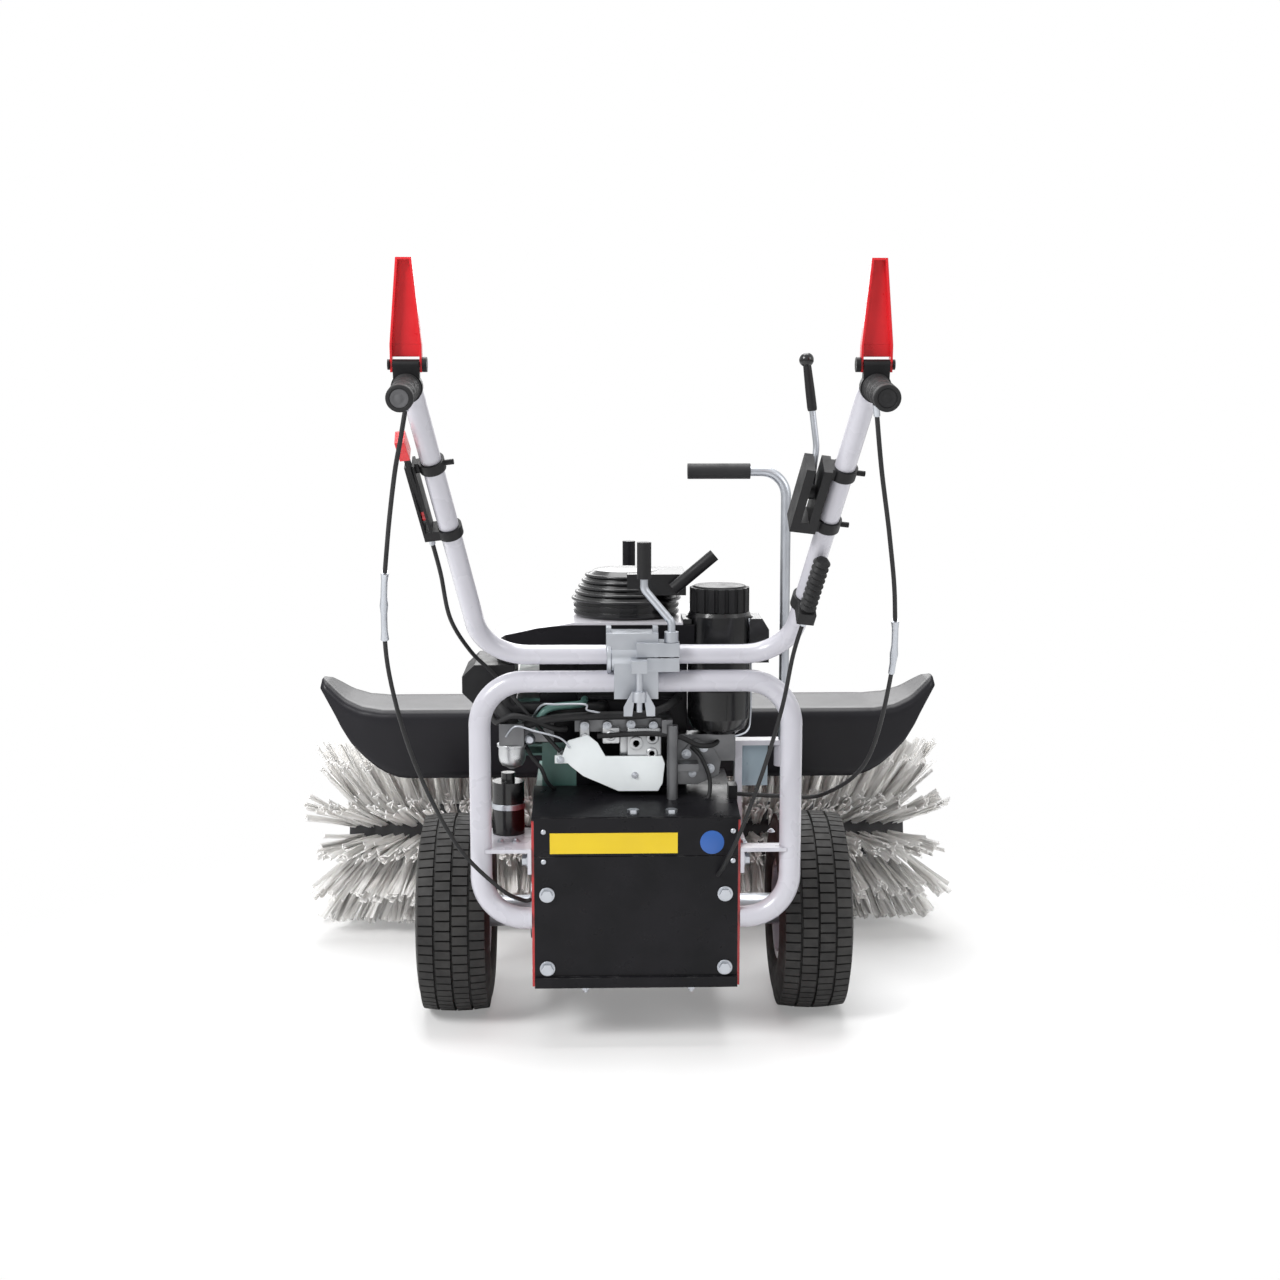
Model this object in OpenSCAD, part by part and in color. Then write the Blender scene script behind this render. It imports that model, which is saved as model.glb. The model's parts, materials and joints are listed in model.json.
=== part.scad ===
// Walk-behind power brush sweeper, millimetres, +Z up, +X to the operator's right, +Y to the brush.
// Y positions below are counted from the wheel axle. at_axle() carries them into the shared frame.

/* [Wheels] */
// Outside diameter of a drive tyre
tyre_d = 330; // [290:1:360]
// Width of a drive tyre
tyre_w = 120; // [100:1:134]
// Distance between the tyre centre planes
track = 590; // [560:1:640]
// Diameter of the rim inside the tyre
rim_d = 152; // [140:1:170]
// Diameter of the half shafts
shaft_d = 25; // [20:1:30]
// Outside diameter of the axle housing
housing_d = 52; // [44:1:60]
// Diameter of the wheel flange on a half shaft
hub_d = 108; // [96:1:120]

/* [Chassis] */
// Width of the red tub
tub_w = 328; // [300:1:340]
// Distance from the axle back to the tub's rear wall
tub_back = 196; // [180:1:205]
// Distance from the axle to the tub's front wall
tub_front = 150; // [130:1:156]
// Height of the tub's underside above the ground
tub_z = 100; // [88:1:125]
// Height of the tub walls
tub_h = 270; // [240:1:282]
// Sheet thickness of tub, cover and deck
sheet_t = 4; // [3:0.5:5]
// Set-back of the rear cover from each side of the tub
cover_inset = 4; // [3:1:20]
// Height of the rear cover
cover_h = 212; // [190:1:222]
// Depth of the folded lip under the rear cover
lip_t = 6; // [4:0.5:8]
// Height of the folded lip under the rear cover
lip_h = 17; // [12:1:24]
// Distance of a cover bolt from the side of the tub
cover_bolt_in = 24; // [20:1:30]

/* [Frame loop] */
// Diameter of the frame loop tube
loop_d = 34; // [30:1:36]
// Width of the loop between tube centres
loop_w = 486; // [476:1:492]
// Height of the top tube centre
loop_z = 588; // [584:1:590]
// Height where the loop ends meet the tub
loop_low_z = 209; // [200:1:220]
// Distance from the axle back to the loop
loop_back = 184; // [180:1:188]
// Bend radius of the loop corners
loop_bend_r = 70; // [60:1:80]
// Wall thickness of the bent tubes
tube_wall = 2.5; // [2:0.1:4]

/* [Handlebar] */
// Diameter of the handlebar tube
bar_d = 30; // [28:0.5:32]
// Rise of the handlebar's cross tube over the loop's top tube
bar_rise = 42; // [41:1:46]
// Half width of the handlebar at its lower corners
bar_half = 235; // [228:1:240]
// Bend radius of the lower corners
bar_bend_r = 80; // [70:1:90]
// Half width of the handlebar at its upper corners
hand_half = 312; // [300:1:325]
// Height of the upper corners
hand_z = 1046; // [1010:1:1080]
// Distance from the axle back to the upper corners
hand_back = 470; // [440:1:500]
// Length of tube behind an upper corner
hand_len = 136; // [130:1:150]
// Drop of the grips towards the operator in degrees
hand_drop = 8; // [0:1:12]
// Bend radius of the upper corners
hand_bend_r = 50; // [40:1:54]
// Outside diameter of a grip
grip_d = 36; // [34:0.5:40]
// Length of a grip
grip_len = 88; // [76:1:88]

/* [Hand levers] */
// Length of a red lever from its pivot
lever_len = 139; // [125:1:165]
// Width of a red lever at its pivot
lever_base_w = 42; // [40:0.5:46]
// Width of a red lever at its tip
lever_tip_w = 21; // [18:0.5:26]
// Depth of a red lever's channel
lever_depth = 14; // [12:0.5:16]
// Sheet thickness of a red lever
lever_t = 3; // [2:0.5:3.5]
// Height of a lever pivot over the tube centre
lever_rise = 30; // [29:0.5:36]
// Diameter of the lever pivot pins
pin_d = 8; // [6:0.5:9]

/* [Engine] */
// Sideways place of the crank axis
engine_x = -11; // [-20:1:0]
// Distance of the crank axis in front of the axle
engine_y = 10; // [0:1:20]
// Height of the crankcase over the deck
case_h = 226; // [220:1:230]
// Half width of the engine cowl
cowl_half = 222; // [200:1:226]
// Height of the cowl's black skirt
skirt_h = 31; // [26:1:36]
// Rise of the cowl's vaulted top
vault_h = 36; // [30:1:40]
// Diameter of the recoil starter cover
recoil_d = 174; // [160:1:176]
// Height of the recoil starter cover
recoil_h = 78; // [70:1:84]
// Diameter of the fuel tank
tank_d = 102; // [92:1:104]
// Height of the fuel tank body
tank_h = 198; // [190:1:202]
// Diameter of the fuel cap
cap_d = 96; // [88:1:100]
// Height of the fuel cap
cap_h = 44; // [40:1:48]
// Number of flutes around the fuel cap
cap_flutes = 18; // [12:1:24]
// Pull length of the starter rope kept in its guide
rope_len = 110; // [90:1:120]

/* [Brush] */
// Distance from the axle to the brush axis
brush_y = 480; // [470:1:500]
// Radius to the bristle tips
bristle_r = 183; // [170:1:186]
// Half length of the brush core
core_half = 534; // [500:1:560]
// Radius of the brush core's twelve flats
core_r = 56; // [50:1:62]
// Outward lean of the endmost bristle tips
flare = 76; // [60:1:84]
// Tufts in one row of one brush half
tufts = 18; // [14:1:20]
// Gap between the brush halves
brush_gap = 64; // [60:1:76]
// Half width of the guard at its raised ends
guard_half = 560; // [540:1:580]
// Height of the guard's top panel
guard_z = 450; // [444:1:456]
// Drop of the guard's rear panel
guard_drop = 116; // [100:1:122]
// Rise of the guard's curled ends
guard_curl = 56; // [40:1:62]
// Depth of the guard's top panel
guard_depth = 170; // [150:1:290]
// Distance from the axle to the guard's rear panel
guard_y = 266; // [262:1:270]
// Distance from the axle to the swivel pin
swivel_y = 192; // [188:1:194]

/* [Controls] */
// Diameter of the bent control rods
rod_d = 16; // [14:0.5:18]
// Sideways place of the swivel crank rod
crank_x = 244; // [240:1:248]
// Distance of the swivel crank rod behind the axle
crank_back = 60; // [54:1:66]
// Height of the swivel crank's arm
crank_z = 906; // [880:1:930]
// Reach of the swivel crank's arm
crank_reach = 154; // [140:1:170]
// Diameter of the swivel crank's grip
crank_grip_d = 25; // [22:0.5:28]
// Length of the swivel crank's grip
crank_grip_len = 96; // [80:1:100]
// Diameter of the control cables
cable_d = 7; // [5:0.5:8]
// Throw of the height crank
height_throw = 60; // [50:1:66]
// Height of the height crank's arm
height_arm_z = 704; // [690:1:720]
// Diameter of the support wheel
support_d = 110; // [100:1:114]

/* [Hidden] */
// Facets of round parts
$fn = 48;
// Radial clearance of running fits and bolt holes
slip = 0.05;
// Clearance between parts that move past each other
run = 0.6;
// Extra depth that carries a cut clear of a face
over = 1;
// Swell of a tube's skin at its bends, and turn of a rod's seam away from a bend's
bend_step = 0.2;
seam_turn = 17;
// Height of the wheel axle
axle_z = tyre_d / 2;
// Height of the deck's top
deck_z = tub_z + tub_h + sheet_t;
// Width of the rear cover, and sideways place of its bolts
cover_w = tub_w - 2 * cover_inset;
cover_bolt_x = tub_w / 2 - cover_bolt_in;
// Rear face of the cover, counted from the axle
cover_y = -tub_back - sheet_t;
// Height of the handlebar's cross tube
bar_z = loop_z + bar_rise;
// Tip width of a tuft, and half breadths of a bristle strip at its backing and at its tips
tuft_tip_w = 15;
strip_half = 6;
strip_tip_half = 7;
// Flats of the brush core, and half the angle between them
core_sides = 12;
half_step = 180 / core_sides;
// Height of the brush axis, so that the lowest tips hang just over the ground
ground_gap = 0.8;
brush_z = bristle_r * cos(half_step) + strip_tip_half * sin(half_step) + ground_gap;
// End of a grip, counted from the axle and above the ground
hand_end_y = -hand_back - hand_len * cos(hand_drop);
hand_end_z = hand_z - hand_len * sin(hand_drop);
grip_wall_end = 4;
// Farthest points to the rear and to the front
rear_y = hand_end_y - grip_wall_end * cos(hand_drop) - grip_d / 2 * sin(hand_drop);
front_y = brush_y + bristle_r * cos(half_step) + strip_tip_half * sin(half_step);
// Place of the axle along the shared frame
axle_y = -(rear_y + front_y) / 2;

// Colours
red = [0.72, 0.05, 0.05];
black = [0.06, 0.06, 0.06];
grey = [0.75, 0.75, 0.78];
zinc = [0.6, 0.61, 0.63];
cream = [0.86, 0.84, 0.79];
teal = [0.1, 0.22, 0.19];
yellow = [0.95, 0.8, 0.05];

// Shared helpers

module at_axle() translate([0, axle_y, 0]) children();

function unit(v) = v / norm(v);
function side_of(d) = abs(d[0]) > 0.9 ? unit([0, 1, 0] - d[1] * d) : unit([1, 0, 0] - d[0] * d);
function columns(x, y, z, p) =
  [[x[0], y[0], z[0], p[0]], [x[1], y[1], z[1], p[1]], [x[2], y[2], z[2], p[2]], [0, 0, 0, 1]];
function frame_at(p, d) =
  let (z = unit(d), x = side_of(z))
  columns(x, cross(z, x), z, p);

// Puts children at a point with their Z along a direction
module along(p, d) multmatrix(frame_at(p, d)) children();

module rod(p, q, d) along(p, q - p) rotate(seam_turn) cylinder(h = norm(q - p), d = d);

function trim(a, b, c, r) = r * tan(acos(unit(b - a) * unit(c - b)) / 2);

// One bend of a round rod at the corner b, a little thicker than the rod
module bend(a, b, c, r, d) {
  d1 = unit(b - a);
  d2 = unit(c - b);
  m = unit(d2 - (d2 * d1) * d1);
  o = b - d1 * trim(a, b, c, r) + m * r;
  multmatrix(columns(-m, d1, cross(d1, m), o))
    rotate_extrude(angle = acos(d1 * d2)) translate([r, 0]) circle(d = d + 2 * bend_step);
}

// Round rod through points, with a bend radius at each inner point
module bent_rod(pts, rs, d) {
  last = len(pts) - 1;
  for (i = [0 : last - 1]) {
    u = unit(pts[i + 1] - pts[i]);
    p = i == 0 ? pts[0] : pts[i] + u * (trim(pts[i - 1], pts[i], pts[i + 1], rs[i - 1]) - over);
    q = i == last - 1 ? pts[last]
      : pts[i + 1] - u * (trim(pts[i], pts[i + 1], pts[i + 2], rs[i]) - over);
    rod(p, q, d);
  }
  for (i = [1 : last - 1]) bend(pts[i - 1], pts[i], pts[i + 1], rs[i - 1], d);
}

module bent_tube(pts, rs, d) {
  difference() {
    bent_rod(pts, rs, d);
    bent_rod(pts, rs, d - 2 * tube_wall);
  }
}

// Box between two corners
module box(a, b) translate(a) cube(b - a);

// Cylinder along X from x0 to x1 at a height and depth
module bar_x(x0, x1, y, z, d) translate([x0, y, z]) rotate([0, 90, 0]) cylinder(h = x1 - x0, d = d);

// Turned body about X, given in radius and X
module turned_x(x, y, z) translate([x, y, z]) rotate([0, 90, 0]) rotate_extrude() children();

// Smooth curve through points, and the round cable swept along it
function spline(p, i, t) =
  let (n = len(p) - 1, a = p[max(i - 1, 0)], b = p[i], c = p[i + 1], e = p[min(i + 2, n)])
  ((2 * b) + (c - a) * t + (2 * a - 5 * b + 4 * c - e) * t * t + (3 * b - a - 3 * c + e) * t * t * t) / 2;
function curve(p, steps) =
  concat([for (i = [0 : len(p) - 2], k = [0 : steps - 1]) spline(p, i, k / steps)], [p[len(p) - 1]]);
cable_sides = 8;
module cable(p, steps) {
  c = curve(p, steps);
  n = len(c);
  rings = [for (i = [0 : n - 1])
    let (d = unit(c[min(i + 1, n - 1)] - c[max(i - 1, 0)]), x = unit([0, 1, 0] - d[1] * d), y = cross(d, x))
    for (k = [0 : cable_sides - 1])
      c[i] + (x * cos(360 * k / cable_sides) + y * sin(360 * k / cable_sides)) * cable_d / 2];
  ends = [[for (k = [0 : cable_sides - 1]) k],
    [for (k = [cable_sides - 1 : -1 : 0]) (n - 1) * cable_sides + k]];
  skin = [for (i = [0 : n - 2], k = [0 : cable_sides - 1])
    let (a = i * cable_sides + k, b = i * cable_sides + (k + 1) % cable_sides)
    [a, a + cable_sides, b + cable_sides, b]];
  polyhedron(rings, concat(ends, skin), convexity = 4);
}

// Bolts

bolt_d = 10;
bolt_head_d = 19;
bolt_head_h = 7;
bolt_washer_d = 24;
bolt_washer_t = 2;
bolt_len = 16;
module bolt() {
  cylinder(h = bolt_head_h, d = bolt_head_d, $fn = 6);
  translate([0, 0, -bolt_washer_t]) cylinder(h = bolt_washer_t + slip, d = bolt_washer_d);
  translate([0, 0, -bolt_washer_t - bolt_len]) cylinder(h = bolt_len + bolt_washer_t, d = bolt_d);
}
bolt_hole_d = bolt_d + 2 * slip;
module bolt_hole() translate([0, 0, -bolt_len - bolt_washer_t]) cylinder(h = 2 * bolt_len, d = bolt_hole_d);

cover_bolt_low_share = 0.146;
cover_bolt_high_share = 0.712;
cover_bolt_zs = [tub_z + cover_h * cover_bolt_low_share, tub_z + cover_h * cover_bolt_high_share];
deck_bolt_xs = [-4, 56];
deck_bolt_in = 20;
floor_bolt_x = 88;
floor_bolt_y = -150;
pad_t = 3;
pad_d = bolt_washer_d + 6;
bracket_bolt_z = 303;
module bolt_places() {
  for (x = [-cover_bolt_x, cover_bolt_x], z = cover_bolt_zs)
    translate([x, cover_y - bolt_washer_t, z]) rotate([90, 0, 0]) children();
  for (x = deck_bolt_xs) translate([x, cover_y + deck_bolt_in, deck_z + bolt_washer_t]) children();
  for (x = [-floor_bolt_x, floor_bolt_x])
    translate([x, floor_bolt_y, tub_z - pad_t - bolt_washer_t]) rotate([180, 0, 0]) children();
  for (s = [-1, 1])
    translate([s * (tub_w / 2 + bracket_t + bolt_washer_t), -loop_back, bracket_bolt_z])
      rotate([0, s * 90, 0]) children();
}
module hex_bolts() color(zinc) at_axle() bolt_places() bolt();

// Chassis

rear_frame_w = 32;
rear_frame_low = 26;
rear_frame_top = 44;
module chassis_tub() color(red) at_axle() difference() {
  union() {
    box([-tub_w / 2, -tub_back, tub_z], [tub_w / 2, tub_front, tub_z + tub_h]);
    for (x = [-floor_bolt_x, floor_bolt_x])
      translate([x, floor_bolt_y, tub_z - pad_t]) cylinder(h = pad_t + sheet_t / 2, d = pad_d);
  }
  box([-tub_w / 2 + sheet_t, -tub_back + sheet_t, tub_z + sheet_t],
    [tub_w / 2 - sheet_t, tub_front - sheet_t, tub_z + tub_h + over]);
  box([-tub_w / 2 + rear_frame_w, -tub_back - over, tub_z + rear_frame_low],
    [tub_w / 2 - rear_frame_w, 0, tub_z + tub_h - rear_frame_top]);
  bar_x(-tub_w, tub_w, 0, axle_z, housing_d + 2 * slip);
  bolt_places() bolt_hole();
}

module rear_cover() color(black) at_axle() difference() {
  union() {
    box([-cover_w / 2, cover_y, tub_z], [cover_w / 2, -tub_back - slip, tub_z + cover_h]);
    box([-cover_w / 2, cover_y - lip_t, tub_z], [cover_w / 2, cover_y + slip, tub_z + lip_h]);
  }
  bolt_places() bolt_hole();
}

stop_w = 14;
stop_len = 30;
stop_h = 34;
stop_y = -130;
deck_seam = 1;
module engine_deck() color(black) at_axle() difference() {
  union() {
    box([-tub_w / 2, cover_y, deck_z - sheet_t + slip], [tub_w / 2, tub_front, deck_z]);
    box([-cover_w / 2, cover_y, tub_z + cover_h + deck_seam],
      [cover_w / 2, -tub_back - slip, deck_z - slip]);
    box([tub_w / 2 - stop_w, stop_y, deck_z - slip], [tub_w / 2, stop_y + stop_len, deck_z + stop_h]);
  }
  bolt_places() bolt_hole();
}

strip_w = 200;
strip_h = 33;
strip_t = 0.6;
strip_in = 25;
strip_x = strip_in - cover_w / 2;
strip_z = 317;
module marker_strip() color(yellow) at_axle()
  box([strip_x, cover_y - strip_t, strip_z], [strip_x + strip_w, cover_y - slip / 2, strip_z + strip_h]);

loop_pts = [[-tub_w / 2, -loop_back, loop_low_z], [-loop_w / 2, -loop_back, loop_low_z],
  [-loop_w / 2, -loop_back, loop_z], [loop_w / 2, -loop_back, loop_z],
  [loop_w / 2, -loop_back, loop_low_z], [tub_w / 2, -loop_back, loop_low_z]];
loop_rs = [loop_bend_r, loop_bend_r, loop_bend_r, loop_bend_r];
module frame_loop() color(grey) at_axle() bent_tube(loop_pts, loop_rs, loop_d);

bracket_t = 6;
bracket_z = 324;
bracket_drop = 40;
bracket_half = 16;
shelf_w = 70;
shelf_front = -62;
guide_z = 470;
guide_w = 30;
guide_t = 8;
guide_boss_d = 30;
guide_boss_h = 44;
guide_web_x = 12;
// Bracket between tub and loop on the side s. The left one carries the canister, the right one the rod
// guide
module loop_bracket(s) difference() {
  union() {
    box([s > 0 ? tub_w / 2 : -loop_w / 2, -loop_back - bracket_half, bracket_z - bracket_t],
      [s > 0 ? loop_w / 2 : -tub_w / 2, -loop_back + bracket_half, bracket_z]);
    box([s > 0 ? tub_w / 2 : -tub_w / 2 - bracket_t, -loop_back - bracket_half, bracket_z - bracket_drop],
      [s > 0 ? tub_w / 2 + bracket_t : -tub_w / 2, -loop_back + bracket_half, bracket_z - slip]);
    if (s < 0) box([-tub_w / 2 - shelf_w, -loop_back, bracket_z - bracket_t],
      [-tub_w / 2, shelf_front, bracket_z]);
    if (s > 0) {
      box([tub_w / 2, -loop_back, bracket_z - bracket_t],
        [tub_w / 2 + guide_web_x, -crank_back + guide_w / 2, bracket_z]);
      box([tub_w / 2, -crank_back - guide_w / 2, bracket_z - bracket_t],
        [tub_w / 2 + guide_web_x, -crank_back + guide_w / 2, guide_z]);
      box([tub_w / 2, -crank_back - guide_w / 2, guide_z - guide_t],
        [crank_x, -crank_back + guide_w / 2, guide_z]);
      translate([crank_x, -crank_back, guide_z - guide_boss_h])
        cylinder(h = guide_boss_h, d = guide_boss_d);
    }
  }
  translate([s * loop_w / 2, -loop_back, 0]) cylinder(h = loop_z, d = loop_d + 2 * slip);
  bolt_places() bolt_hole();
  if (s > 0) translate([crank_x, -crank_back, guide_z - guide_boss_h + guide_t])
    cylinder(h = guide_boss_h, d = rod_d + 2 * slip);
}
module loop_bracket_left() color(grey) at_axle() loop_bracket(-1);
module loop_bracket_right() color(grey) at_axle() loop_bracket(1);

housing_short = 16;
housing_half = track / 2 - housing_short;
housing_flange_d = 92;
housing_flange_t = 8;
module axle_housing() color(zinc) at_axle() difference() {
  union() {
    bar_x(-housing_half, housing_half, 0, axle_z, housing_d);
    for (s = [-1, 1]) bar_x(s * (tub_w / 2 + slip + housing_flange_t / 2) - housing_flange_t / 2,
      s * (tub_w / 2 + slip + housing_flange_t / 2) + housing_flange_t / 2, 0, axle_z, housing_flange_d);
  }
  bar_x(-track, track, 0, axle_z, shaft_d + 2 * slip);
}

// Wheels

wall_shares = [[0.80, 0], [0.80, 0.1], [0.965, 0.27], [1, 0.5], [0.965, 0.72], [0.88, 0.89], [0.72, 0.97],
  [0.5, 1]];
groove_shares = [-0.37, 0, 0.37];
groove_w = 6;
groove_h = 6;
tyre_bead_r = rim_d / 2 + slip;
function tyre_pt(s, side) = [tyre_bead_r + s[1] * (tyre_d / 2 - tyre_bead_r), side * s[0] * tyre_w / 2];
tyre_outline = concat([for (s = wall_shares) tyre_pt(s, 1)],
  [for (i = [len(wall_shares) - 1 : -1 : 0]) tyre_pt(wall_shares[i], -1)]);
module tyre(s) turned_x(s * track / 2, 0, axle_z) difference() {
  polygon(tyre_outline);
  for (g = groove_shares) translate([tyre_d / 2 - groove_h, g * tyre_w / 2 - groove_w / 2])
    square([groove_h + over, groove_w]);
}
module tyre_left() color(black) at_axle() tyre(-1);
module tyre_right() color(black) at_axle() tyre(1);

rim_t = 4;
rim_lip_h = 8;
rim_lip_t = 4;
rim_bead_share = 0.8;
rim_half = tyre_w / 2 * rim_bead_share + 2 * slip;
disc_out = 6;
disc_t = 6;
dish_r = 60;
dish_w = 10;
dish_t = 5;
lug_r = 38;
lugs = 4;
// Rim turned about X, its disc on the outer side s
module rim(s) difference() {
  turned_x(s * track / 2, 0, axle_z) union() {
    translate([rim_d / 2 - rim_t, -rim_half]) square([rim_t, 2 * rim_half]);
    for (e = [-1, 1]) translate([rim_d / 2 - rim_t, e * (rim_half + rim_lip_t / 2) - rim_lip_t / 2])
      square([rim_t + rim_lip_h, rim_lip_t]);
    translate([shaft_d / 2 + slip, s > 0 ? disc_out : -disc_out - disc_t])
      square([rim_d / 2 - shaft_d / 2 - slip, disc_t]);
    translate([dish_r - dish_w / 2, s > 0 ? disc_out : -disc_out - disc_t - dish_t])
      square([dish_w, disc_t + dish_t]);
  }
  for (k = [0 : lugs - 1]) translate([0, 0, axle_z]) rotate([180 / lugs + 360 / lugs * k, 0, 0])
    bar_x(s > 0 ? 0 : -track, s > 0 ? track : 0, 0, lug_r, bolt_hole_d);
}
module rim_left() color(grey) at_axle() rim(-1);
module rim_right() color(grey) at_axle() rim(1);

shaft_middle = 1;
shaft_nose = 30;
hub_t = 8;
hub_nut_d = 38;
hub_nut_t = 10;
lug_head_d = 17;
lug_head_h = 8;
module half_shaft(s) {
  face = track / 2 + disc_out - slip;
  out = track / 2 + disc_out + disc_t + slip;
  mirror([s > 0 ? 0 : 1, 0, 0]) {
    bar_x(shaft_middle, track / 2 + shaft_nose, 0, axle_z, shaft_d);
    bar_x(face - hub_t, face, 0, axle_z, hub_d);
    bar_x(out, out + hub_nut_t, 0, axle_z, hub_nut_d);
    for (k = [0 : lugs - 1]) translate([0, 0, axle_z]) rotate([180 / lugs + 360 / lugs * k, 0, 0]) {
      bar_x(face - over, out + over, 0, lug_r, bolt_d);
      translate([out, 0, lug_r]) rotate([0, 90, 0]) cylinder(h = lug_head_h, d = lug_head_d, $fn = 6);
    }
  }
}
module half_shaft_left() color(zinc) at_axle() half_shaft(-1);
module half_shaft_right() color(zinc) at_axle() half_shaft(1);

// Engine

case_left = -150;
case_right = 84;
case_back = -58;
case_front = 128;
case_top = deck_z + case_h;
fin_out = 40;
fin_t = 4;
fin_pitch = 15;
fin_rise = 70;
fins = 9;
foot_h = 18;
foot_out = 10;
module crankcase() color(teal) at_axle() {
  box([case_left, case_back, deck_z + slip], [case_right, case_front, case_top]);
  box([case_left - foot_out, case_back - foot_out, deck_z + slip],
    [case_right + foot_out, case_front + foot_out, deck_z + foot_h]);
  for (k = [0 : fins - 1]) box([case_left - fin_out, case_back, deck_z + fin_rise + k * fin_pitch],
    [case_left + over, case_front, deck_z + fin_rise + k * fin_pitch + fin_t]);
}

// Plan of the cowl, in shares of its half width and of its depth
cowl_plan_shares = [[-1, 0.16], [-0.9, 0], [0.9, 0], [1, 0.16], [1, 0.66], [0.72, 1], [-0.72, 1],
  [-1, 0.66]];
cowl_back = -96;
cowl_depth = 262;
skirt_z = case_top + slip;
vault_z = skirt_z + skirt_h;
skirt_in = 6;
function cowl_plan(cut) = [for (s = cowl_plan_shares)
  [engine_x / 2 + s[0] * (cowl_half - cut), cowl_back + cut + s[1] * (cowl_depth - 2 * cut)]];
duct_shares = [[0.36, 0], [0.36, 1], [0.95, 1], [1, 0.75], [1, 0]];
duct_w = 216;
duct_h = 72;
duct_left = duct_shares[0][0] * duct_w;
duct_back = -92;
duct_len = 70;
module blower_housing() color(black) at_axle() difference() {
  union() {
    translate([0, 0, skirt_z]) linear_extrude(skirt_h) polygon(cowl_plan(skirt_in));
    translate([0, duct_back, skirt_z + over]) rotate([90, 0, 0]) mirror([0, 0, 1]) linear_extrude(duct_len)
      polygon([for (s = duct_shares) [s[0] * duct_w, s[1] * (duct_h - over)]]);
  }
  translate([tank_x, tank_y, 0]) cylinder(h = 2 * loop_z, d = tank_d + 2 * tank_gap);
}

vault_shares = [[-1, 0], [-1, 0.12], [-0.92, 0.34], [-0.68, 0.7], [-0.42, 1], [0.42, 1], [0.68, 0.7],
  [0.92, 0.34], [1, 0.12], [1, 0]];
module engine_cowl() color(grey) at_axle() difference() {
  intersection() {
    translate([0, 0, vault_z + slip]) linear_extrude(vault_h) polygon(cowl_plan(0));
    translate([engine_x / 2, cowl_back + cowl_depth, vault_z + slip]) rotate([90, 0, 0])
      linear_extrude(cowl_depth) polygon([for (s = vault_shares) [s[0] * cowl_half, s[1] * vault_h]]);
  }
  translate([tank_x, tank_y, 0]) cylinder(h = 2 * loop_z, d = tank_d + 2 * tank_gap);
  box([duct_left - slip, cowl_back - over, vault_z],
    [2 * cowl_half, duct_back + duct_len + slip, vault_z + vault_h + over]);
}

recoil_z = vault_z + vault_h + 2 * slip;
recoil_shares = [[0, 0], [0.94, 0], [1, 0.06], [1, 0.3], [0.95, 0.4], [0.72, 0.86], [0.6, 0.96], [0.3, 1],
  [0, 1]];
ring_shares = [0.13, 0.26];
ring_h = 5;
ring_deep = 4;
guide_x = 70;
guide_top = 34;
guide_rise = 40;
guide_half = 14;
rope_d = 6;
rope_y = -66;
rope_rise = 58;
module recoil_cover() color(black) at_axle() difference() {
  union() {
    translate([engine_x, engine_y, recoil_z]) rotate_extrude() difference() {
      polygon([for (s = recoil_shares) [s[0] * recoil_d / 2, s[1] * recoil_h]]);
      for (s = ring_shares) translate([recoil_d / 2 - ring_deep, s * recoil_h])
        square([ring_deep + over, ring_h]);
    }
    box([engine_x, rope_y, recoil_z + guide_rise],
      [guide_x + guide_half, rope_y + rope_len + guide_half, recoil_z + guide_rise + guide_top]);
  }
  rod([guide_x, rope_y - over, recoil_z + rope_rise],
    [guide_x, rope_y + rope_len + over, recoil_z + rope_rise], rope_d + 2 * slip);
}

bar_len = 86;
bar_grip_d = 20;
bar_tilt = 40;
bar_low = 10;
bar_gap = 4;
module starter_grip() color(black) at_axle() {
  translate([guide_x, rope_y - bar_gap - bar_grip_d / 2, recoil_z + rope_rise])
    rotate([0, 90 - bar_tilt, 0])
    translate([0, 0, -bar_low]) cylinder(h = bar_len, d = bar_grip_d);
  rod([guide_x, rope_y - bar_gap - bar_grip_d / 2, recoil_z + rope_rise],
    [guide_x, rope_y + rope_len, recoil_z + rope_rise], rope_d);
}

tank_x = 138;
tank_y = -64;
tank_z = 484;
tank_gap = 3;
tank_round_shares = [[0, 0], [0.62, 0], [0.86, 0.04], [1, 0.13], [1, 0.97], [0.94, 1], [0, 1]];
neck_d = 70;
neck_h = 16;
module fuel_tank() color(black) at_axle() translate([tank_x, tank_y, tank_z]) {
  rotate_extrude() polygon([for (s = tank_round_shares) [s[0] * tank_d / 2, s[1] * tank_h]]);
  translate([0, 0, tank_h - over]) cylinder(h = neck_h + over, d = neck_d);
}

cap_wall = 5;
flute_d = 7;
cap_crown = 6;
module fuel_cap() color(black) at_axle() translate([tank_x, tank_y, tank_z + tank_h + run]) difference() {
  union() {
    linear_extrude(cap_h - cap_crown) difference() {
      circle(d = cap_d);
      for (k = [0 : cap_flutes - 1]) rotate(360 / cap_flutes * k) translate([cap_d / 2, 0])
        circle(d = flute_d);
    }
    translate([0, 0, cap_h - cap_crown - slip])
      rotate_extrude() polygon([[0, 0], [cap_d / 2 - flute_d / 2 - over, 0],
        [cap_d / 2 - flute_d, cap_crown / 2],
        [0, cap_crown]]);
  }
  translate([0, 0, -over]) cylinder(h = neck_h + over + run, d = neck_d + 2 * slip);
}

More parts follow.
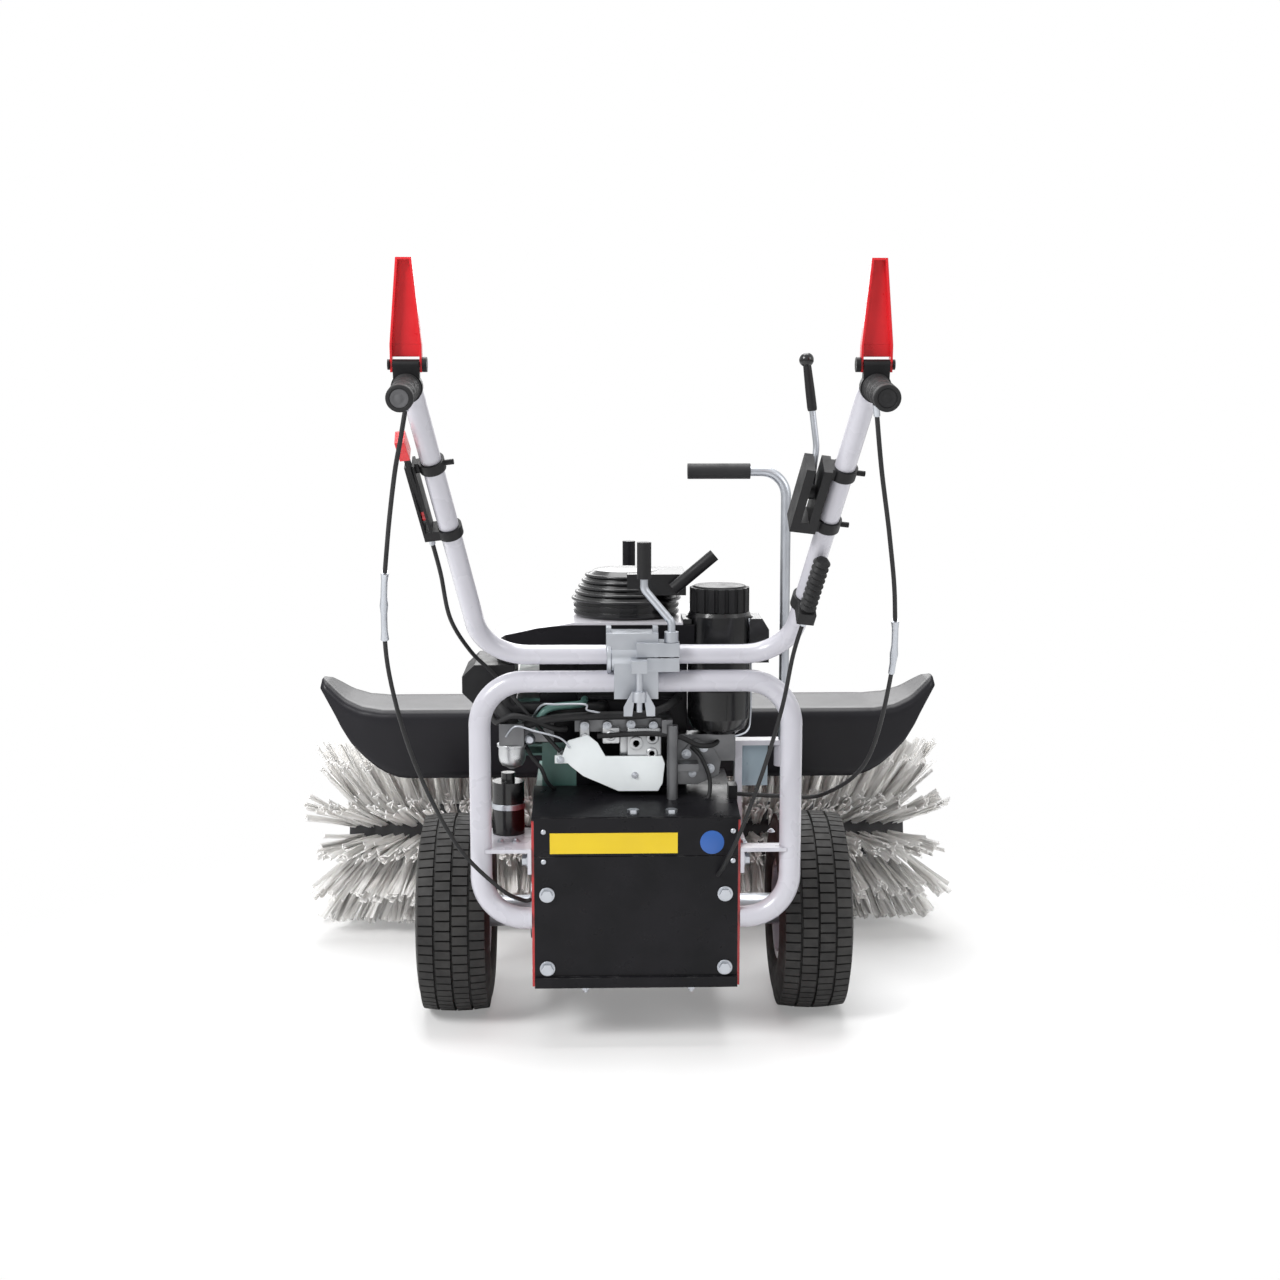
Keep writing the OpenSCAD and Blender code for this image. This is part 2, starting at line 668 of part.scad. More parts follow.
filter_left = -276;
filter_right = -192;
filter_back = -92;
filter_front = 60;
filter_low = 534;
filter_top_gap = 1;
filter_cut = 20;
hose_d = 20;
hose_pts = [[-205, -84, 560], [-205, -84, 527], [-52, -84, 527], [-52, case_back - slip, 527]];
hose_rs = [16, 14];
module air_filter() color(black) at_axle() {
  translate([0, filter_front, 0]) rotate([90, 0, 0]) linear_extrude(filter_front - filter_back)
    polygon([[filter_left, filter_low + filter_cut], [filter_left + filter_cut, filter_low],
      [filter_right, filter_low],
      [filter_right, case_top - filter_top_gap], [filter_left + filter_cut, case_top - filter_top_gap],
      [filter_left, case_top - filter_cut]]);
  bent_rod(hose_pts, hose_rs, hose_d);
}

carb_x = -197;
carb_y = -90;
bowl_d = 34;
bowl_z = 438;
bowl_h = 34;
carb_half = 20;
carb_h = 34;
drain_d = 12;
drain_h = 8;
module carburettor() color(zinc) at_axle() {
  translate([carb_x, carb_y, bowl_z]) cylinder(h = bowl_h, d = bowl_d);
  translate([carb_x, carb_y, bowl_z - drain_h]) cylinder(h = drain_h + over, d = drain_d, $fn = 6);
  box([carb_x - carb_half, carb_y - carb_half, bowl_z + bowl_h - over],
    [carb_x + carb_half, carb_y + carb_half, bowl_z + bowl_h + carb_h]);
  box([carb_x + carb_half - over, carb_y, bowl_z + bowl_h + over],
    [case_left + carb_half, case_back - slip, bowl_z + bowl_h + carb_h - over]);
}

shield_shares = [[0, 0.64], [0.07, 0.64], [0.12, 0.9], [0.3, 1], [0.39, 0.86], [0.46, 0.62], [0.66, 0.62],
  [0.975, 0.62],
  [1, 0.48], [0.98, 0.14], [0.94, 0], [0.58, 0], [0.26, 0.27], [0.15, 0.44], [0.12, 0.5], [0, 0.5]];
shield_x = -128;
shield_z = 398;
shield_w = 176;
shield_h = 92;
shield_y = -120;
shield_t = 3;
post_d = 12;
post_shares = [[0.05, 0.57], [0.3, 0.75], [0.85, 0.3]];
module heat_shield() color([0.85, 0.87, 0.87]) at_axle() {
  translate([shield_x, shield_y + shield_t, shield_z]) rotate([90, 0, 0]) linear_extrude(shield_t)
    polygon([for (s = shield_shares) [s[0] * shield_w, s[1] * shield_h]]);
  for (s = post_shares) rod([shield_x + s[0] * shield_w, shield_y + over, shield_z + s[1] * shield_h],
    [shield_x + s[0] * shield_w, case_back - slip, shield_z + s[1] * shield_h], post_d);
}

block_left = -96;
block_right = 44;
block_back = -104;
block_low = 492;
block_high = 514;
stud_d = 16;
stud_out = 9;
stud_places = [[-80, 503], [-44, 503], [-6, 505], [30, 503]];
arm_shares = [[0, 0], [0.2, 0.75], [0.45, 1], [0.8, 0.85], [1, 0.5], [0.95, 0.2], [0.5, 0]];
arm_x = 64;
arm_z = 402;
arm_gap = 24;
arm_w = tub_w / 2 - arm_gap - arm_x;
arm_h = 76;
arm_back = -92;
drain_tube_x = 60;
drain_tube_y = -124;
drain_tube_d = 18;
drain_tube_top = 506;
lug_z = 430;
lug_h = 12;
lug_half = 8;
tank_shelf_gap = 0.5;
module control_block() color(zinc) at_axle() {
  box([block_left, block_back, block_low], [block_right, case_back - slip, block_high]);
  for (p = stud_places) rod([p[0], block_back + over, p[1]], [p[0], block_back - stud_out, p[1]], stud_d);
  translate([arm_x, case_back - slip, arm_z]) rotate([90, 0, 0]) linear_extrude(case_back - slip - arm_back)
    polygon([for (s = arm_shares) [s[0] * arm_w, s[1] * arm_h]]);
  translate([drain_tube_x, drain_tube_y, deck_z + slip])
    cylinder(h = drain_tube_top - deck_z, d = drain_tube_d);
  box([block_right - over, drain_tube_y, block_low], [drain_tube_x, case_back - slip, block_high]);
  box([drain_tube_x - lug_half, drain_tube_y, lug_z],
    [arm_x + arm_w / 2, arm_back + lug_half, lug_z + lug_h]);
  box([arm_x, tank_y - tank_d / 4, arm_z + arm_h / 2],
    [tub_w / 2 - tank_shelf_gap, case_back - slip, tank_z - slip]);
}

can_out = 40;
can_x = -tub_w / 2 - can_out;
can_y = -92;
can_d = 52;
can_h = 86;
can_neck_d = 22;
can_neck_h = 14;
module side_canister() color(black) at_axle() translate([can_x, can_y, bracket_z + slip]) {
  cylinder(h = can_h, d = can_d);
  translate([0, 0, can_h - over]) cylinder(h = can_neck_h + over, d = can_neck_d);
}

// Handlebar clamp

clamp_half = 34;
clamp_deep = 25;
clamp_low = 24;
clamp_split = 1;
clamp_top = 36;
ear_x = 54;
ear_back = 24;
ear_half = 12;
ear_drop = 22;
screw_d = 10;
lip_back = 64;
lip_low = 20;
stud_len = 62;
stud_x = 4;
screw_y = -loop_back - ear_back;
module clamp_base() color(zinc) at_axle() difference() {
  union() {
    box([-clamp_half, -loop_back - clamp_deep, loop_z - clamp_low],
      [clamp_half, -loop_back + clamp_deep, bar_z - clamp_split]);
    box([0, screw_y - ear_half, bar_z - ear_drop],
      [ear_x + ear_half, -loop_back + ear_half, bar_z - clamp_split]);
    box([stud_x - ear_half, -loop_back - lip_back, bar_z - lip_low],
      [stud_x + ear_half, -loop_back, bar_z - clamp_split]);
    translate([stud_x, -loop_back - lip_back + ear_half, bar_z - lip_low - stud_len + over])
      cylinder(h = stud_len, d = screw_d);
  }
  bar_x(-track, track, -loop_back, loop_z, loop_d + 2 * slip);
  bar_x(-track, track, -loop_back, bar_z, bar_d + 2 * slip);
  translate([ear_x, screw_y, 0]) cylinder(h = hand_z, d = screw_d + 2 * slip);
}

cap_left = -46;
rib_h = 8;
rib_half = 14;
module clamp_cap() color(zinc) at_axle() difference() {
  union() {
    box([cap_left, -loop_back - clamp_deep, bar_z + clamp_split],
      [clamp_half, -loop_back + clamp_deep, bar_z + clamp_top]);
    box([0, screw_y - ear_half, bar_z + clamp_split],
      [ear_x + ear_half, -loop_back + ear_half, bar_z + ear_drop]);
    box([cap_left, -loop_back - rib_half, bar_z + clamp_top - over],
      [cap_left + rib_h, -loop_back + rib_half, bar_z + clamp_top + rib_h]);
    box([clamp_half - rib_h, -loop_back - rib_half, bar_z + clamp_top - over],
      [clamp_half, -loop_back + rib_half, bar_z + clamp_top + rib_h]);
  }
  bar_x(-track, track, -loop_back, bar_z, bar_d + 2 * slip);
  translate([ear_x, screw_y, 0]) cylinder(h = hand_z, d = screw_d + 2 * slip);
}

lever_rod_d = 12;
lever_foot = 16;
lever_neck = [12, 0, 104];
lever_head_z = 172;
lever_grip_d = 22;
lever_grip_len = 52;
lever_pts = [[ear_x, screw_y, bar_z + ear_drop + run + over],
  [ear_x, screw_y, bar_z + ear_drop + 2 * lever_foot],
  [lever_neck[0], screw_y, bar_z + lever_neck[2]], [lever_neck[0], screw_y, bar_z + lever_head_z]];
lever_rs = [12, 16];
module clamp_lever() color(zinc) at_axle() {
  bent_rod(lever_pts, lever_rs, lever_rod_d);
  translate([ear_x, screw_y, bar_z - ear_drop - over])
    cylinder(h = 2 * ear_drop + lever_foot / 2, d = screw_d);
  translate([ear_x, screw_y, bar_z + ear_drop + run]) cylinder(h = lever_foot, d = lever_grip_d);
}
module clamp_grip() color(black) at_axle()
  translate([lever_neck[0], screw_y, bar_z + lever_head_z - lever_grip_len]) difference() {
  cylinder(h = lever_grip_len + sheet_t, d = lever_grip_d);
  translate([0, 0, -over]) cylinder(h = lever_grip_len + over, d = lever_rod_d + 2 * slip);
}

wing_d = 22;
wing_h = 16;
wing_span = 24;
wing_t = 5;
wing_rise = 22;
module wing_nut() color(zinc) at_axle()
  translate([stud_x, -loop_back - lip_back + ear_half, bar_z - lip_low - stud_len + run + wing_h])
    difference() {
    union() {
      cylinder(h = wing_h, d = wing_d);
      translate([0, wing_t / 2, 0]) rotate([90, 0, 0]) linear_extrude(wing_t)
        polygon([[-wing_d / 2, wing_h], [wing_d / 2, wing_h], [wing_span, -wing_h / 2],
          [wing_span, -wing_rise],
          [wing_d / 2, -wing_rise], [wing_h / 2, 0], [-wing_h / 2, 0], [-wing_d / 2, -wing_rise],
          [-wing_span, -wing_rise], [-wing_span, -wing_h / 2]]);
    }
    translate([0, 0, -wing_rise - over]) cylinder(h = 2 * wing_h + wing_rise, d = screw_d + 2 * slip);
  }

// Handlebar

function low_pt(s) = [s * bar_half, -loop_back, bar_z];
function top_pt(s) = [s * hand_half, -hand_back, hand_z];
function end_pt(s) = [s * hand_half, hand_end_y, hand_end_z];
bar_pts = [end_pt(-1), top_pt(-1), low_pt(-1), low_pt(1), top_pt(1), end_pt(1)];
bar_rs = [hand_bend_r, bar_bend_r, bar_bend_r, hand_bend_r];
module handlebar() color(grey) at_axle() bent_tube(bar_pts, bar_rs, bar_d);

// Puts children on a grip's axis, Z running forward from the tube end and Y pointing down
module on_grip(s) along(end_pt(s), top_pt(s) - end_pt(s)) children();
// Puts children on a leg of the handlebar, Z running up from the lower corner, Y to the front
module on_leg(s) along(low_pt(s), top_pt(s) - low_pt(s)) children();
leg_len = norm(top_pt(1) - low_pt(1));

grip_ring = 3;
module grip(s) on_grip(s) difference() {
  union() {
    translate([0, 0, -grip_wall_end]) cylinder(h = grip_len + grip_wall_end, d = grip_d);
    translate([0, 0, grip_len - grip_wall_end]) cylinder(h = grip_wall_end, d = grip_d + grip_ring);
  }
  translate([0, 0, -slip]) cylinder(h = grip_len + slip + over, d = bar_d + 2 * slip);
}
module grip_left() color(black) at_axle() grip(-1);
module grip_right() color(black) at_axle() grip(1);

seat_z = 97;
seat_len = 14;
seat_d = 42;
pivot_head_d = 20;
pivot_head_t = 6;
ear_w = lever_base_w - 2 * lever_t - 2 * run;
module lever_bracket(s) on_grip(s) difference() {
  union() {
    translate([0, 0, seat_z - seat_len / 2]) cylinder(h = seat_len, d = seat_d);
    translate([-ear_w / 2, -lever_rise, seat_z - seat_len / 2]) cube([ear_w, lever_rise, seat_len]);
    bar_x(-lever_base_w / 2 - run, lever_base_w / 2 + run, -lever_rise, seat_z, pin_d);
    bar_x(-ear_w / 2, ear_w / 2, -lever_rise, seat_z, seat_len);
    bar_x(s > 0 ? -lever_base_w / 2 - run - pivot_head_t : lever_base_w / 2 + run,
      s > 0 ? -lever_base_w / 2 - run : lever_base_w / 2 + run + pivot_head_t, -lever_rise, seat_z,
        pivot_head_d);
    bar_x(s > 0 ? lever_base_w / 2 + run : -lever_base_w / 2 - run - pivot_head_t / 2,
      s > 0 ? lever_base_w / 2 + run + pivot_head_t / 2 : -lever_base_w / 2 - run, -lever_rise, seat_z,
        pin_d + pivot_head_t);
  }
  translate([0, 0, seat_z - seat_len]) cylinder(h = 2 * seat_len, d = bar_d + 2 * slip);
}
module lever_bracket_left() color(black) at_axle() lever_bracket(-1);
module lever_bracket_right() color(black) at_axle() lever_bracket(1);

lever_lean = 4;
lever_fore_share = 0.7;
lever_tail = 10;
lever_web = 26;
// Red lever, standing up from its pivot with the channel open to the operator
module lever(s) on_grip(s) translate([0, -lever_rise, seat_z]) rotate([-lever_lean, 0, 0]) difference() {
  translate([0, 0, lever_depth * lever_fore_share]) rotate([0, 180, 0]) linear_extrude(lever_depth)
    polygon([[-lever_base_w / 2, lever_tail], [lever_base_w / 2, lever_tail],
      [lever_base_w / 2, -lever_web],
      [lever_tip_w / 2, -lever_len], [-lever_tip_w / 2, -lever_len], [-lever_base_w / 2, -lever_web]]);
  translate([0, 0, lever_depth * lever_fore_share - lever_t])
    rotate([0, 180, 0]) linear_extrude(lever_depth)
    polygon([[-lever_base_w / 2 + lever_t, lever_tail + over],
      [lever_base_w / 2 - lever_t, lever_tail + over],
      [lever_base_w / 2 - lever_t, -lever_web], [lever_tip_w / 2 - lever_t, -lever_len + lever_t],
      [-lever_tip_w / 2 + lever_t, -lever_len + lever_t], [-lever_base_w / 2 + lever_t, -lever_web]]);
  translate([-lever_base_w / 2 + lever_t, -lever_web, -lever_depth])
    cube([lever_base_w - 2 * lever_t, lever_web + lever_tail + over, 2 * lever_depth]);
  bar_x(-lever_base_w, lever_base_w, 0, 0, pin_d + 2 * slip);
}
module drive_lever() color(red) at_axle() lever(-1);
module brush_lever() color(red) at_axle() lever(1);

// Throttle control on the left leg, outer side

throttle_low_share = 0.48;
throttle_high_share = 0.745;
throttle_pin_share = 0.56;
throttle_x = -30;
throttle_gap = 6;
throttle_t = 5;
throttle_cheek = 4;
throttle_half = 13;
throttle_band = 16;
throttle_wall = 4;
throttle_pin_d = 8;
module throttle_housing() color(black) at_axle() on_leg(-1) difference() {
  union() {
    for (e = [-1, 1])
      translate([throttle_x + e * (throttle_gap / 2 + throttle_cheek / 2) - throttle_cheek / 2,
        -throttle_half, leg_len * throttle_low_share])
      cube([throttle_cheek, 2 * throttle_half, leg_len * (throttle_high_share - throttle_low_share)]);
    translate([throttle_x - throttle_gap / 2 - throttle_cheek, -throttle_half,
      leg_len * throttle_low_share])
      cube([throttle_gap + 2 * throttle_cheek, 2 * throttle_half, throttle_band]);
    bar_x(throttle_x - throttle_gap, throttle_x + throttle_gap, 0, leg_len * throttle_pin_share,
      throttle_pin_d);
    translate([throttle_x, -throttle_half, leg_len * throttle_low_share])
      cube([-throttle_x, 2 * throttle_half, throttle_band]);
    translate([0, 0, leg_len * throttle_low_share])
      cylinder(h = throttle_band, d = bar_d + 2 * throttle_wall);
    translate([0, 0, leg_len * throttle_high_share - throttle_band])
      cylinder(h = throttle_band, d = bar_d + 2 * throttle_wall);
    translate([throttle_x + throttle_gap / 2, -throttle_half / 2,
      leg_len * throttle_high_share - throttle_band])
      cube([-throttle_x - throttle_gap / 2, throttle_half, throttle_band]);
    bar_x(0, bar_d / 2 + throttle_band, 0, leg_len * throttle_high_share - throttle_band / 2,
      throttle_pin_d);
  }
  cylinder(h = leg_len, d = bar_d + 2 * slip);
}

throttle_arm = 118;
throttle_arm_w = 14;
throttle_boss = 18;
knob_len = 34;
knob_w = 24;
knob_t = 14;
throttle_set = 6;
module throttle_lever() color(red) at_axle() on_leg(-1)
  translate([throttle_x, 0, leg_len * throttle_pin_share]) rotate([throttle_set, 0, 0]) difference() {
    union() {
      bar_x(-throttle_t / 2, throttle_t / 2, 0, 0, throttle_boss);
      translate([-throttle_t / 2, -throttle_arm_w / 2, 0]) cube([throttle_t, throttle_arm_w, throttle_arm]);
      translate([-knob_t / 2, -knob_w / 2, throttle_arm - over]) cube([knob_t, knob_w, knob_len]);
    }
    bar_x(-throttle_boss, throttle_boss, 0, 0, throttle_pin_d + 2 * slip);
  }

// Shift control on the right leg, inner side

shift_low_share = 0.5;
shift_high_share = 0.72;
shift_pin_share = 0.62;
shift_x = -38;
shift_gap = 12;
shift_t = 10.6;
shift_cheek = 13;
shift_half = 20;
shift_band = 18;
shift_pin_d = 10;
module shift_bracket() color(black) at_axle() on_leg(1) difference() {
  union() {
    for (e = [-1, 1]) translate([shift_x + e * (shift_gap / 2 + shift_cheek / 2) - shift_cheek / 2,
      -shift_half, leg_len * shift_low_share])
      cube([shift_cheek, 2 * shift_half, leg_len * (shift_high_share - shift_low_share)]);
    translate([shift_x - shift_gap / 2 - shift_cheek, -shift_half, leg_len * shift_low_share])
      cube([shift_gap + 2 * shift_cheek, 2 * shift_half, shift_band]);
    bar_x(shift_x - shift_gap, shift_x + shift_gap, 0, leg_len * shift_pin_share, shift_pin_d);
    for (z = [leg_len * shift_low_share, leg_len * shift_high_share - shift_band]) {
      translate([0, 0, z]) cylinder(h = shift_band, d = bar_d + 2 * throttle_wall);
      translate([shift_x + shift_gap / 2, -throttle_half, z])
        cube([-shift_x - shift_gap / 2, 2 * throttle_half, shift_band]);
    }
    bar_x(0, bar_d / 2 + throttle_band, 0, leg_len * shift_low_share + shift_band / 2, throttle_pin_d);
    bar_x(0, bar_d / 2 + throttle_band, 0, leg_len * shift_high_share - shift_band / 2, throttle_pin_d);
  }
  cylinder(h = leg_len, d = bar_d + 2 * slip);
}

shift_boss = 22;
shift_rod_d = 9;
shift_bend_r = 30;
shift_tilt = 36;
shift_up = 64;
shift_arm = [-15, 58];
shift_knob_len = 70;
shift_sleeve_d = 14;
shift_ball_d = 20;
shift_pts = [[0, 0, 0], [0, 0, shift_up], [shift_arm[0], 0, shift_up + shift_arm[1]]];
shift_lean = -shift_tilt;
module shift_lever() color(black) at_axle() on_leg(1)
  translate([shift_x, 0, leg_len * shift_pin_share]) rotate([shift_lean, 0, 0]) difference() {
    union() {
      bar_x(-shift_t / 2, shift_t / 2, 0, 0, shift_boss);
      bent_rod(shift_pts, [shift_bend_r], shift_rod_d);
      along(shift_pts[2], shift_pts[2] - shift_pts[1]) translate([0, 0, -shift_rod_d])
        cylinder(h = shift_knob_len, d = shift_sleeve_d);
      along(shift_pts[2], shift_pts[2] - shift_pts[1])
        translate([0, 0, shift_knob_len - shift_rod_d - shift_sleeve_d / 2])
        cylinder(h = shift_ball_d, d = shift_ball_d);
    }
    bar_x(-shift_boss, shift_boss, 0, 0, shift_pin_d + 2 * slip);
  }

boot_low_share = 0.24;
boot_high_share = 0.43;
boot_y = -32;
boot_d = 26;
boot_groove_d = 18;
boot_ribs = 9;
boot_seat = 20;
boot_pitch = leg_len * (boot_high_share - boot_low_share) / boot_ribs;
module shift_boot() color(black) at_axle() on_leg(1) difference() {
  union() {
    translate([0, boot_y, leg_len * boot_low_share]) rotate_extrude() polygon(concat([[0, 0]],
      [for (k = [0 : boot_ribs - 1]) each [[boot_groove_d / 2, k * boot_pitch],
        [boot_d / 2, (k + 0.5) * boot_pitch]]],
      [[boot_groove_d / 2, boot_ribs * boot_pitch], [0, boot_ribs * boot_pitch]]));
    translate([0, 0, leg_len * boot_low_share - boot_seat])
      cylinder(h = boot_seat, d = bar_d + 2 * throttle_wall);
    translate([-boot_d / 2, boot_y - boot_d / 2, leg_len * boot_low_share - boot_seat])
      cube([boot_d, -boot_y, boot_seat + slip]);
  }
  cylinder(h = leg_len, d = bar_d + 2 * slip);
}

// Cables, held at both ends

function leg_at(s, share) = low_pt(s) + (top_pt(s) - low_pt(s)) * share;
cable_steps = 3;
cable_gap = 0.5;
// Drop of a cable's upper end under its seat
cable_drop = 1.4;
// Place of the lever cables' upper ends
lever_end_x = 314;
lever_end_y = -504;
lever_end_z = 1018;
shift_end_in = 12;
shift_end_x = cover_bolt_x - shift_end_in;
shift_end_z = 282;
drive_end_y = -182;
drive_end_z = 238;
drive_gap = 1.7;
drive_run = 16;
rest_out = 8;
function leg_x(s) = side_of(unit(top_pt(s) - low_pt(s)));
function leg_z(s) = unit(top_pt(s) - low_pt(s));
throttle_start = leg_at(-1, throttle_low_share) + leg_x(-1) * throttle_x - leg_z(-1) * cable_drop;
throttle_rest = [shield_x + post_shares[0][0] * shield_w, shield_y + shield_t + rest_out,
  shield_z + post_shares[0][1] * shield_h + post_d / 2 + cable_d / 2 + cable_gap];
throttle_route = [throttle_start, [-293, -258, 765], [-284, -205, 690], [-258, -136, 628],
  [-222, -109, 585], [-160, -108, 508], throttle_rest];
module throttle_cable() color(black) at_axle() cable(throttle_route, cable_steps);

shift_start = leg_at(1, boot_low_share) + cross(leg_z(1),
  leg_x(1)) * boot_y - leg_z(1) * (boot_seat + cable_drop);
shift_route = [shift_start, [236, -256, 640], [222, -246, 560], [198, -240, 470], [165, -232, 370],
  [140, -224, 310], [shift_end_x, cover_y - cable_d / 2 - cable_gap, shift_end_z]];
module shift_cable() color(black) at_axle() cable(shift_route, cable_steps);

drive_route = [[-lever_end_x, lever_end_y, lever_end_z], [-330, -462, 930], [-352, -412, 830],
  [-366, -362, 730],
  [-366, -312, 620], [-336, -270, 480], [-278, -238, 345], [-214, -216, 268],
  [-tub_w / 2 - drive_run, drive_end_y, drive_end_z], [-tub_w / 2 - drive_gap, drive_end_y, drive_end_z]];
module drive_cable() color(black) at_axle() cable(drive_route, cable_steps);

brush_route = [[lever_end_x, lever_end_y, lever_end_z], [330, -462, 930], [352, -412, 830],
  [370, -362, 730],
  [376, -310, 620], [356, -226, 470], [302, -140, 396], [236, -118, 388],
  [tub_w / 2 + cable_gap, stop_y + stop_len / 2, deck_z + stop_h / 2]];
module brush_cable() color(black) at_axle() cable(brush_route, cable_steps);

// Swivel crank

crank_bend = 40;
crank_foot = 6;
module swivel_rod() color(zinc) at_axle()
  bent_rod([[crank_x, -crank_back, guide_z - guide_boss_h + guide_t + crank_foot],
  [crank_x, -crank_back, crank_z], [crank_x - crank_reach, -crank_back, crank_z]], [crank_bend], rod_d);
module swivel_grip() color(black) at_axle() difference() {
  bar_x(crank_x - crank_reach - sheet_t, crank_x - crank_reach + crank_grip_len, -crank_back, crank_z,
    crank_grip_d);
  bar_x(crank_x - crank_reach - slip, crank_x, -crank_back, crank_z, rod_d + 2 * slip);
}

// Brush head

swivel_plate_w = 80;
swivel_plate_t = 8;
swivel_low_z = 236;
swivel_high_z = 300;
swivel_pin_d = 24;
swivel_pin_over = 8;
swivel_nose = 21;
module swivel_bracket() color(black) at_axle() {
  for (z = [swivel_low_z, swivel_high_z]) box([-swivel_plate_w / 2, tub_front + slip, z],
    [swivel_plate_w / 2, swivel_y + swivel_nose, z + swivel_plate_t]);
  box([-swivel_plate_w / 2, tub_front + slip, swivel_low_z],
    [swivel_plate_w / 2, tub_front + swivel_plate_t, swivel_high_z + over]);
  translate([0, swivel_y, swivel_low_z - swivel_pin_over])
    cylinder(h = swivel_high_z - swivel_low_z + swivel_plate_t + 2 * swivel_pin_over, d = swivel_pin_d);
}

hub_out_d = 42;
leg_y = 240;
sleeve_d = 44;
leg_d = 30;
sleeve_low = 250;
sleeve_top = 472;
sleeve_cap = 8;
spindle_d = 12;
beam_half = 25;
beam_h = 42;
beam_top = guard_z - 2 * slip;
case_half = 22;
case_d = 112;
case_end = 34;
brush_shaft_d = 30;
web_half = 8;
module head_arm() color(black) at_axle() difference() {
  union() {
    translate([0, swivel_y, swivel_low_z + swivel_plate_t + run])
      cylinder(h = swivel_high_z - swivel_low_z - swivel_plate_t - 2 * run, d = hub_out_d);
    box([-web_half, swivel_y, sleeve_low + run], [web_half, leg_y, swivel_high_z - 2 * run]);
    translate([0, leg_y, sleeve_low]) cylinder(h = sleeve_top - sleeve_low, d = sleeve_d);
    box([-beam_half, leg_y, beam_top - beam_h], [beam_half, brush_y + case_end, beam_top]);
    box([-case_half, brush_y - case_d / 2, brush_z], [case_half, brush_y + case_d / 2, beam_top - over]);
    bar_x(-case_half, case_half, brush_y, brush_z, case_d);
  }
  translate([0, swivel_y, 0]) cylinder(h = loop_z, d = swivel_pin_d + 2 * slip);
  translate([0, leg_y, 0]) cylinder(h = sleeve_top - sleeve_cap, d = leg_d + 2 * slip);
  translate([0, leg_y, 0]) cylinder(h = loop_z, d = spindle_d + 2 * slip);
  bar_x(-track, track, brush_y, brush_z, brush_shaft_d + 2 * slip);
}

guard_t = 4;
curl_shares = [[0, 0], [0.8, 0], [0.87, 0.1], [0.925, 0.34], [0.965, 0.68], [1, 1]];
panel_shares = [[0.775, 1], [0.82, 0.94], [0.87, 0.8], [0.92, 0.55], [0.96, 0.2]];
function curl_pt(s, side) = [side * s[0] * guard_half, guard_z + s[1] * guard_curl];
guard_line = concat([for (i = [len(curl_shares) - 1 : -1 : 1]) curl_pt(curl_shares[i], -1)],
  [for (i = [1 : len(curl_shares) - 1]) curl_pt(curl_shares[i], 1)]);
function raise(p, h) = [for (q = p) q + [0, h]];
function back_to_front(p) = [for (i = [len(p) - 1 : -1 : 0]) p[i]];
panel_line = concat([for (s = panel_shares) [s[0] * guard_half, guard_z - s[1] * guard_drop]],
  [for (i = [len(curl_shares) - 1 : -1 : 1]) curl_pt(curl_shares[i], 1)],
  [for (i = [1 : len(curl_shares) - 1]) curl_pt(curl_shares[i], -1)],
  [for (i = [len(panel_shares) - 1 : -1 : 0]) [-panel_shares[i][0] * guard_half,
    guard_z - panel_shares[i][1] * guard_drop]]);
module brush_guard() color(black) at_axle() difference() {
  union() {
    translate([0, guard_y + guard_depth, 0]) rotate([90, 0, 0]) linear_extrude(guard_depth)
      polygon(concat(guard_line, back_to_front(raise(guard_line, guard_t))));
    translate([0, guard_y + guard_t, 0]) rotate([90, 0, 0]) linear_extrude(guard_t)
      polygon(panel_line);
  }
  box([-beam_half - slip, 0, beam_top - beam_h - slip],
    [beam_half + slip, guard_y + guard_t + over, guard_z]);
  translate([0, leg_y, 0]) cylinder(h = hand_z, d = sleeve_d + over);
}

core_wall = 8;
stub_d = 60;
core_start = brush_gap / 2;
back_t = 4;
// Twelve-sided tube along X, given by the radius of its flats
module tube_12(x0, x1, flat_r, wall)
  translate([x0, brush_y, brush_z]) rotate([0, 90, 0]) linear_extrude(x1 - x0) difference() {
    circle(r = flat_r / cos(half_step), $fn = core_sides);
    circle(r = (flat_r - wall) / cos(half_step), $fn = core_sides);
  }
module brush_core() color([0.16, 0.16, 0.17]) at_axle() {
  bar_x(-core_half, core_half, brush_y, brush_z, brush_shaft_d);
  for (s = [-1, 1]) {
    tube_12(s > 0 ? core_start : -core_half, s > 0 ? core_half : -core_start, core_r - back_t - slip,
      core_wall);
    for (x = [core_start, core_half - core_wall])
      tube_12(s > 0 ? x : -x - core_wall, s > 0 ? x + core_wall : -x,
      core_r - back_t - 2 * slip, core_r - back_t - brush_shaft_d / 2);
  }
}

tuft_root_w = 10;
tuft_end = 14;
flare_from_share = 0.45;
flare_power = 1.6;
tuft_pitch = (core_half - core_start - 2 * tuft_end) / (tufts - 0.5);
function lean(x) =
  let (share = (x - core_start) / (core_half - core_start))
  share < flare_from_share ? 0 : flare * pow((share - flare_from_share) / (1 - flare_from_share),
    flare_power);
function tip_r(x) = sqrt(bristle_r * bristle_r - lean(x) * lean(x) / 2);
// Middle of tuft i in row k, counted along the core
function tuft_x(k, i) = core_start + tuft_end + (i + (k % 2) / 2) * tuft_pitch;
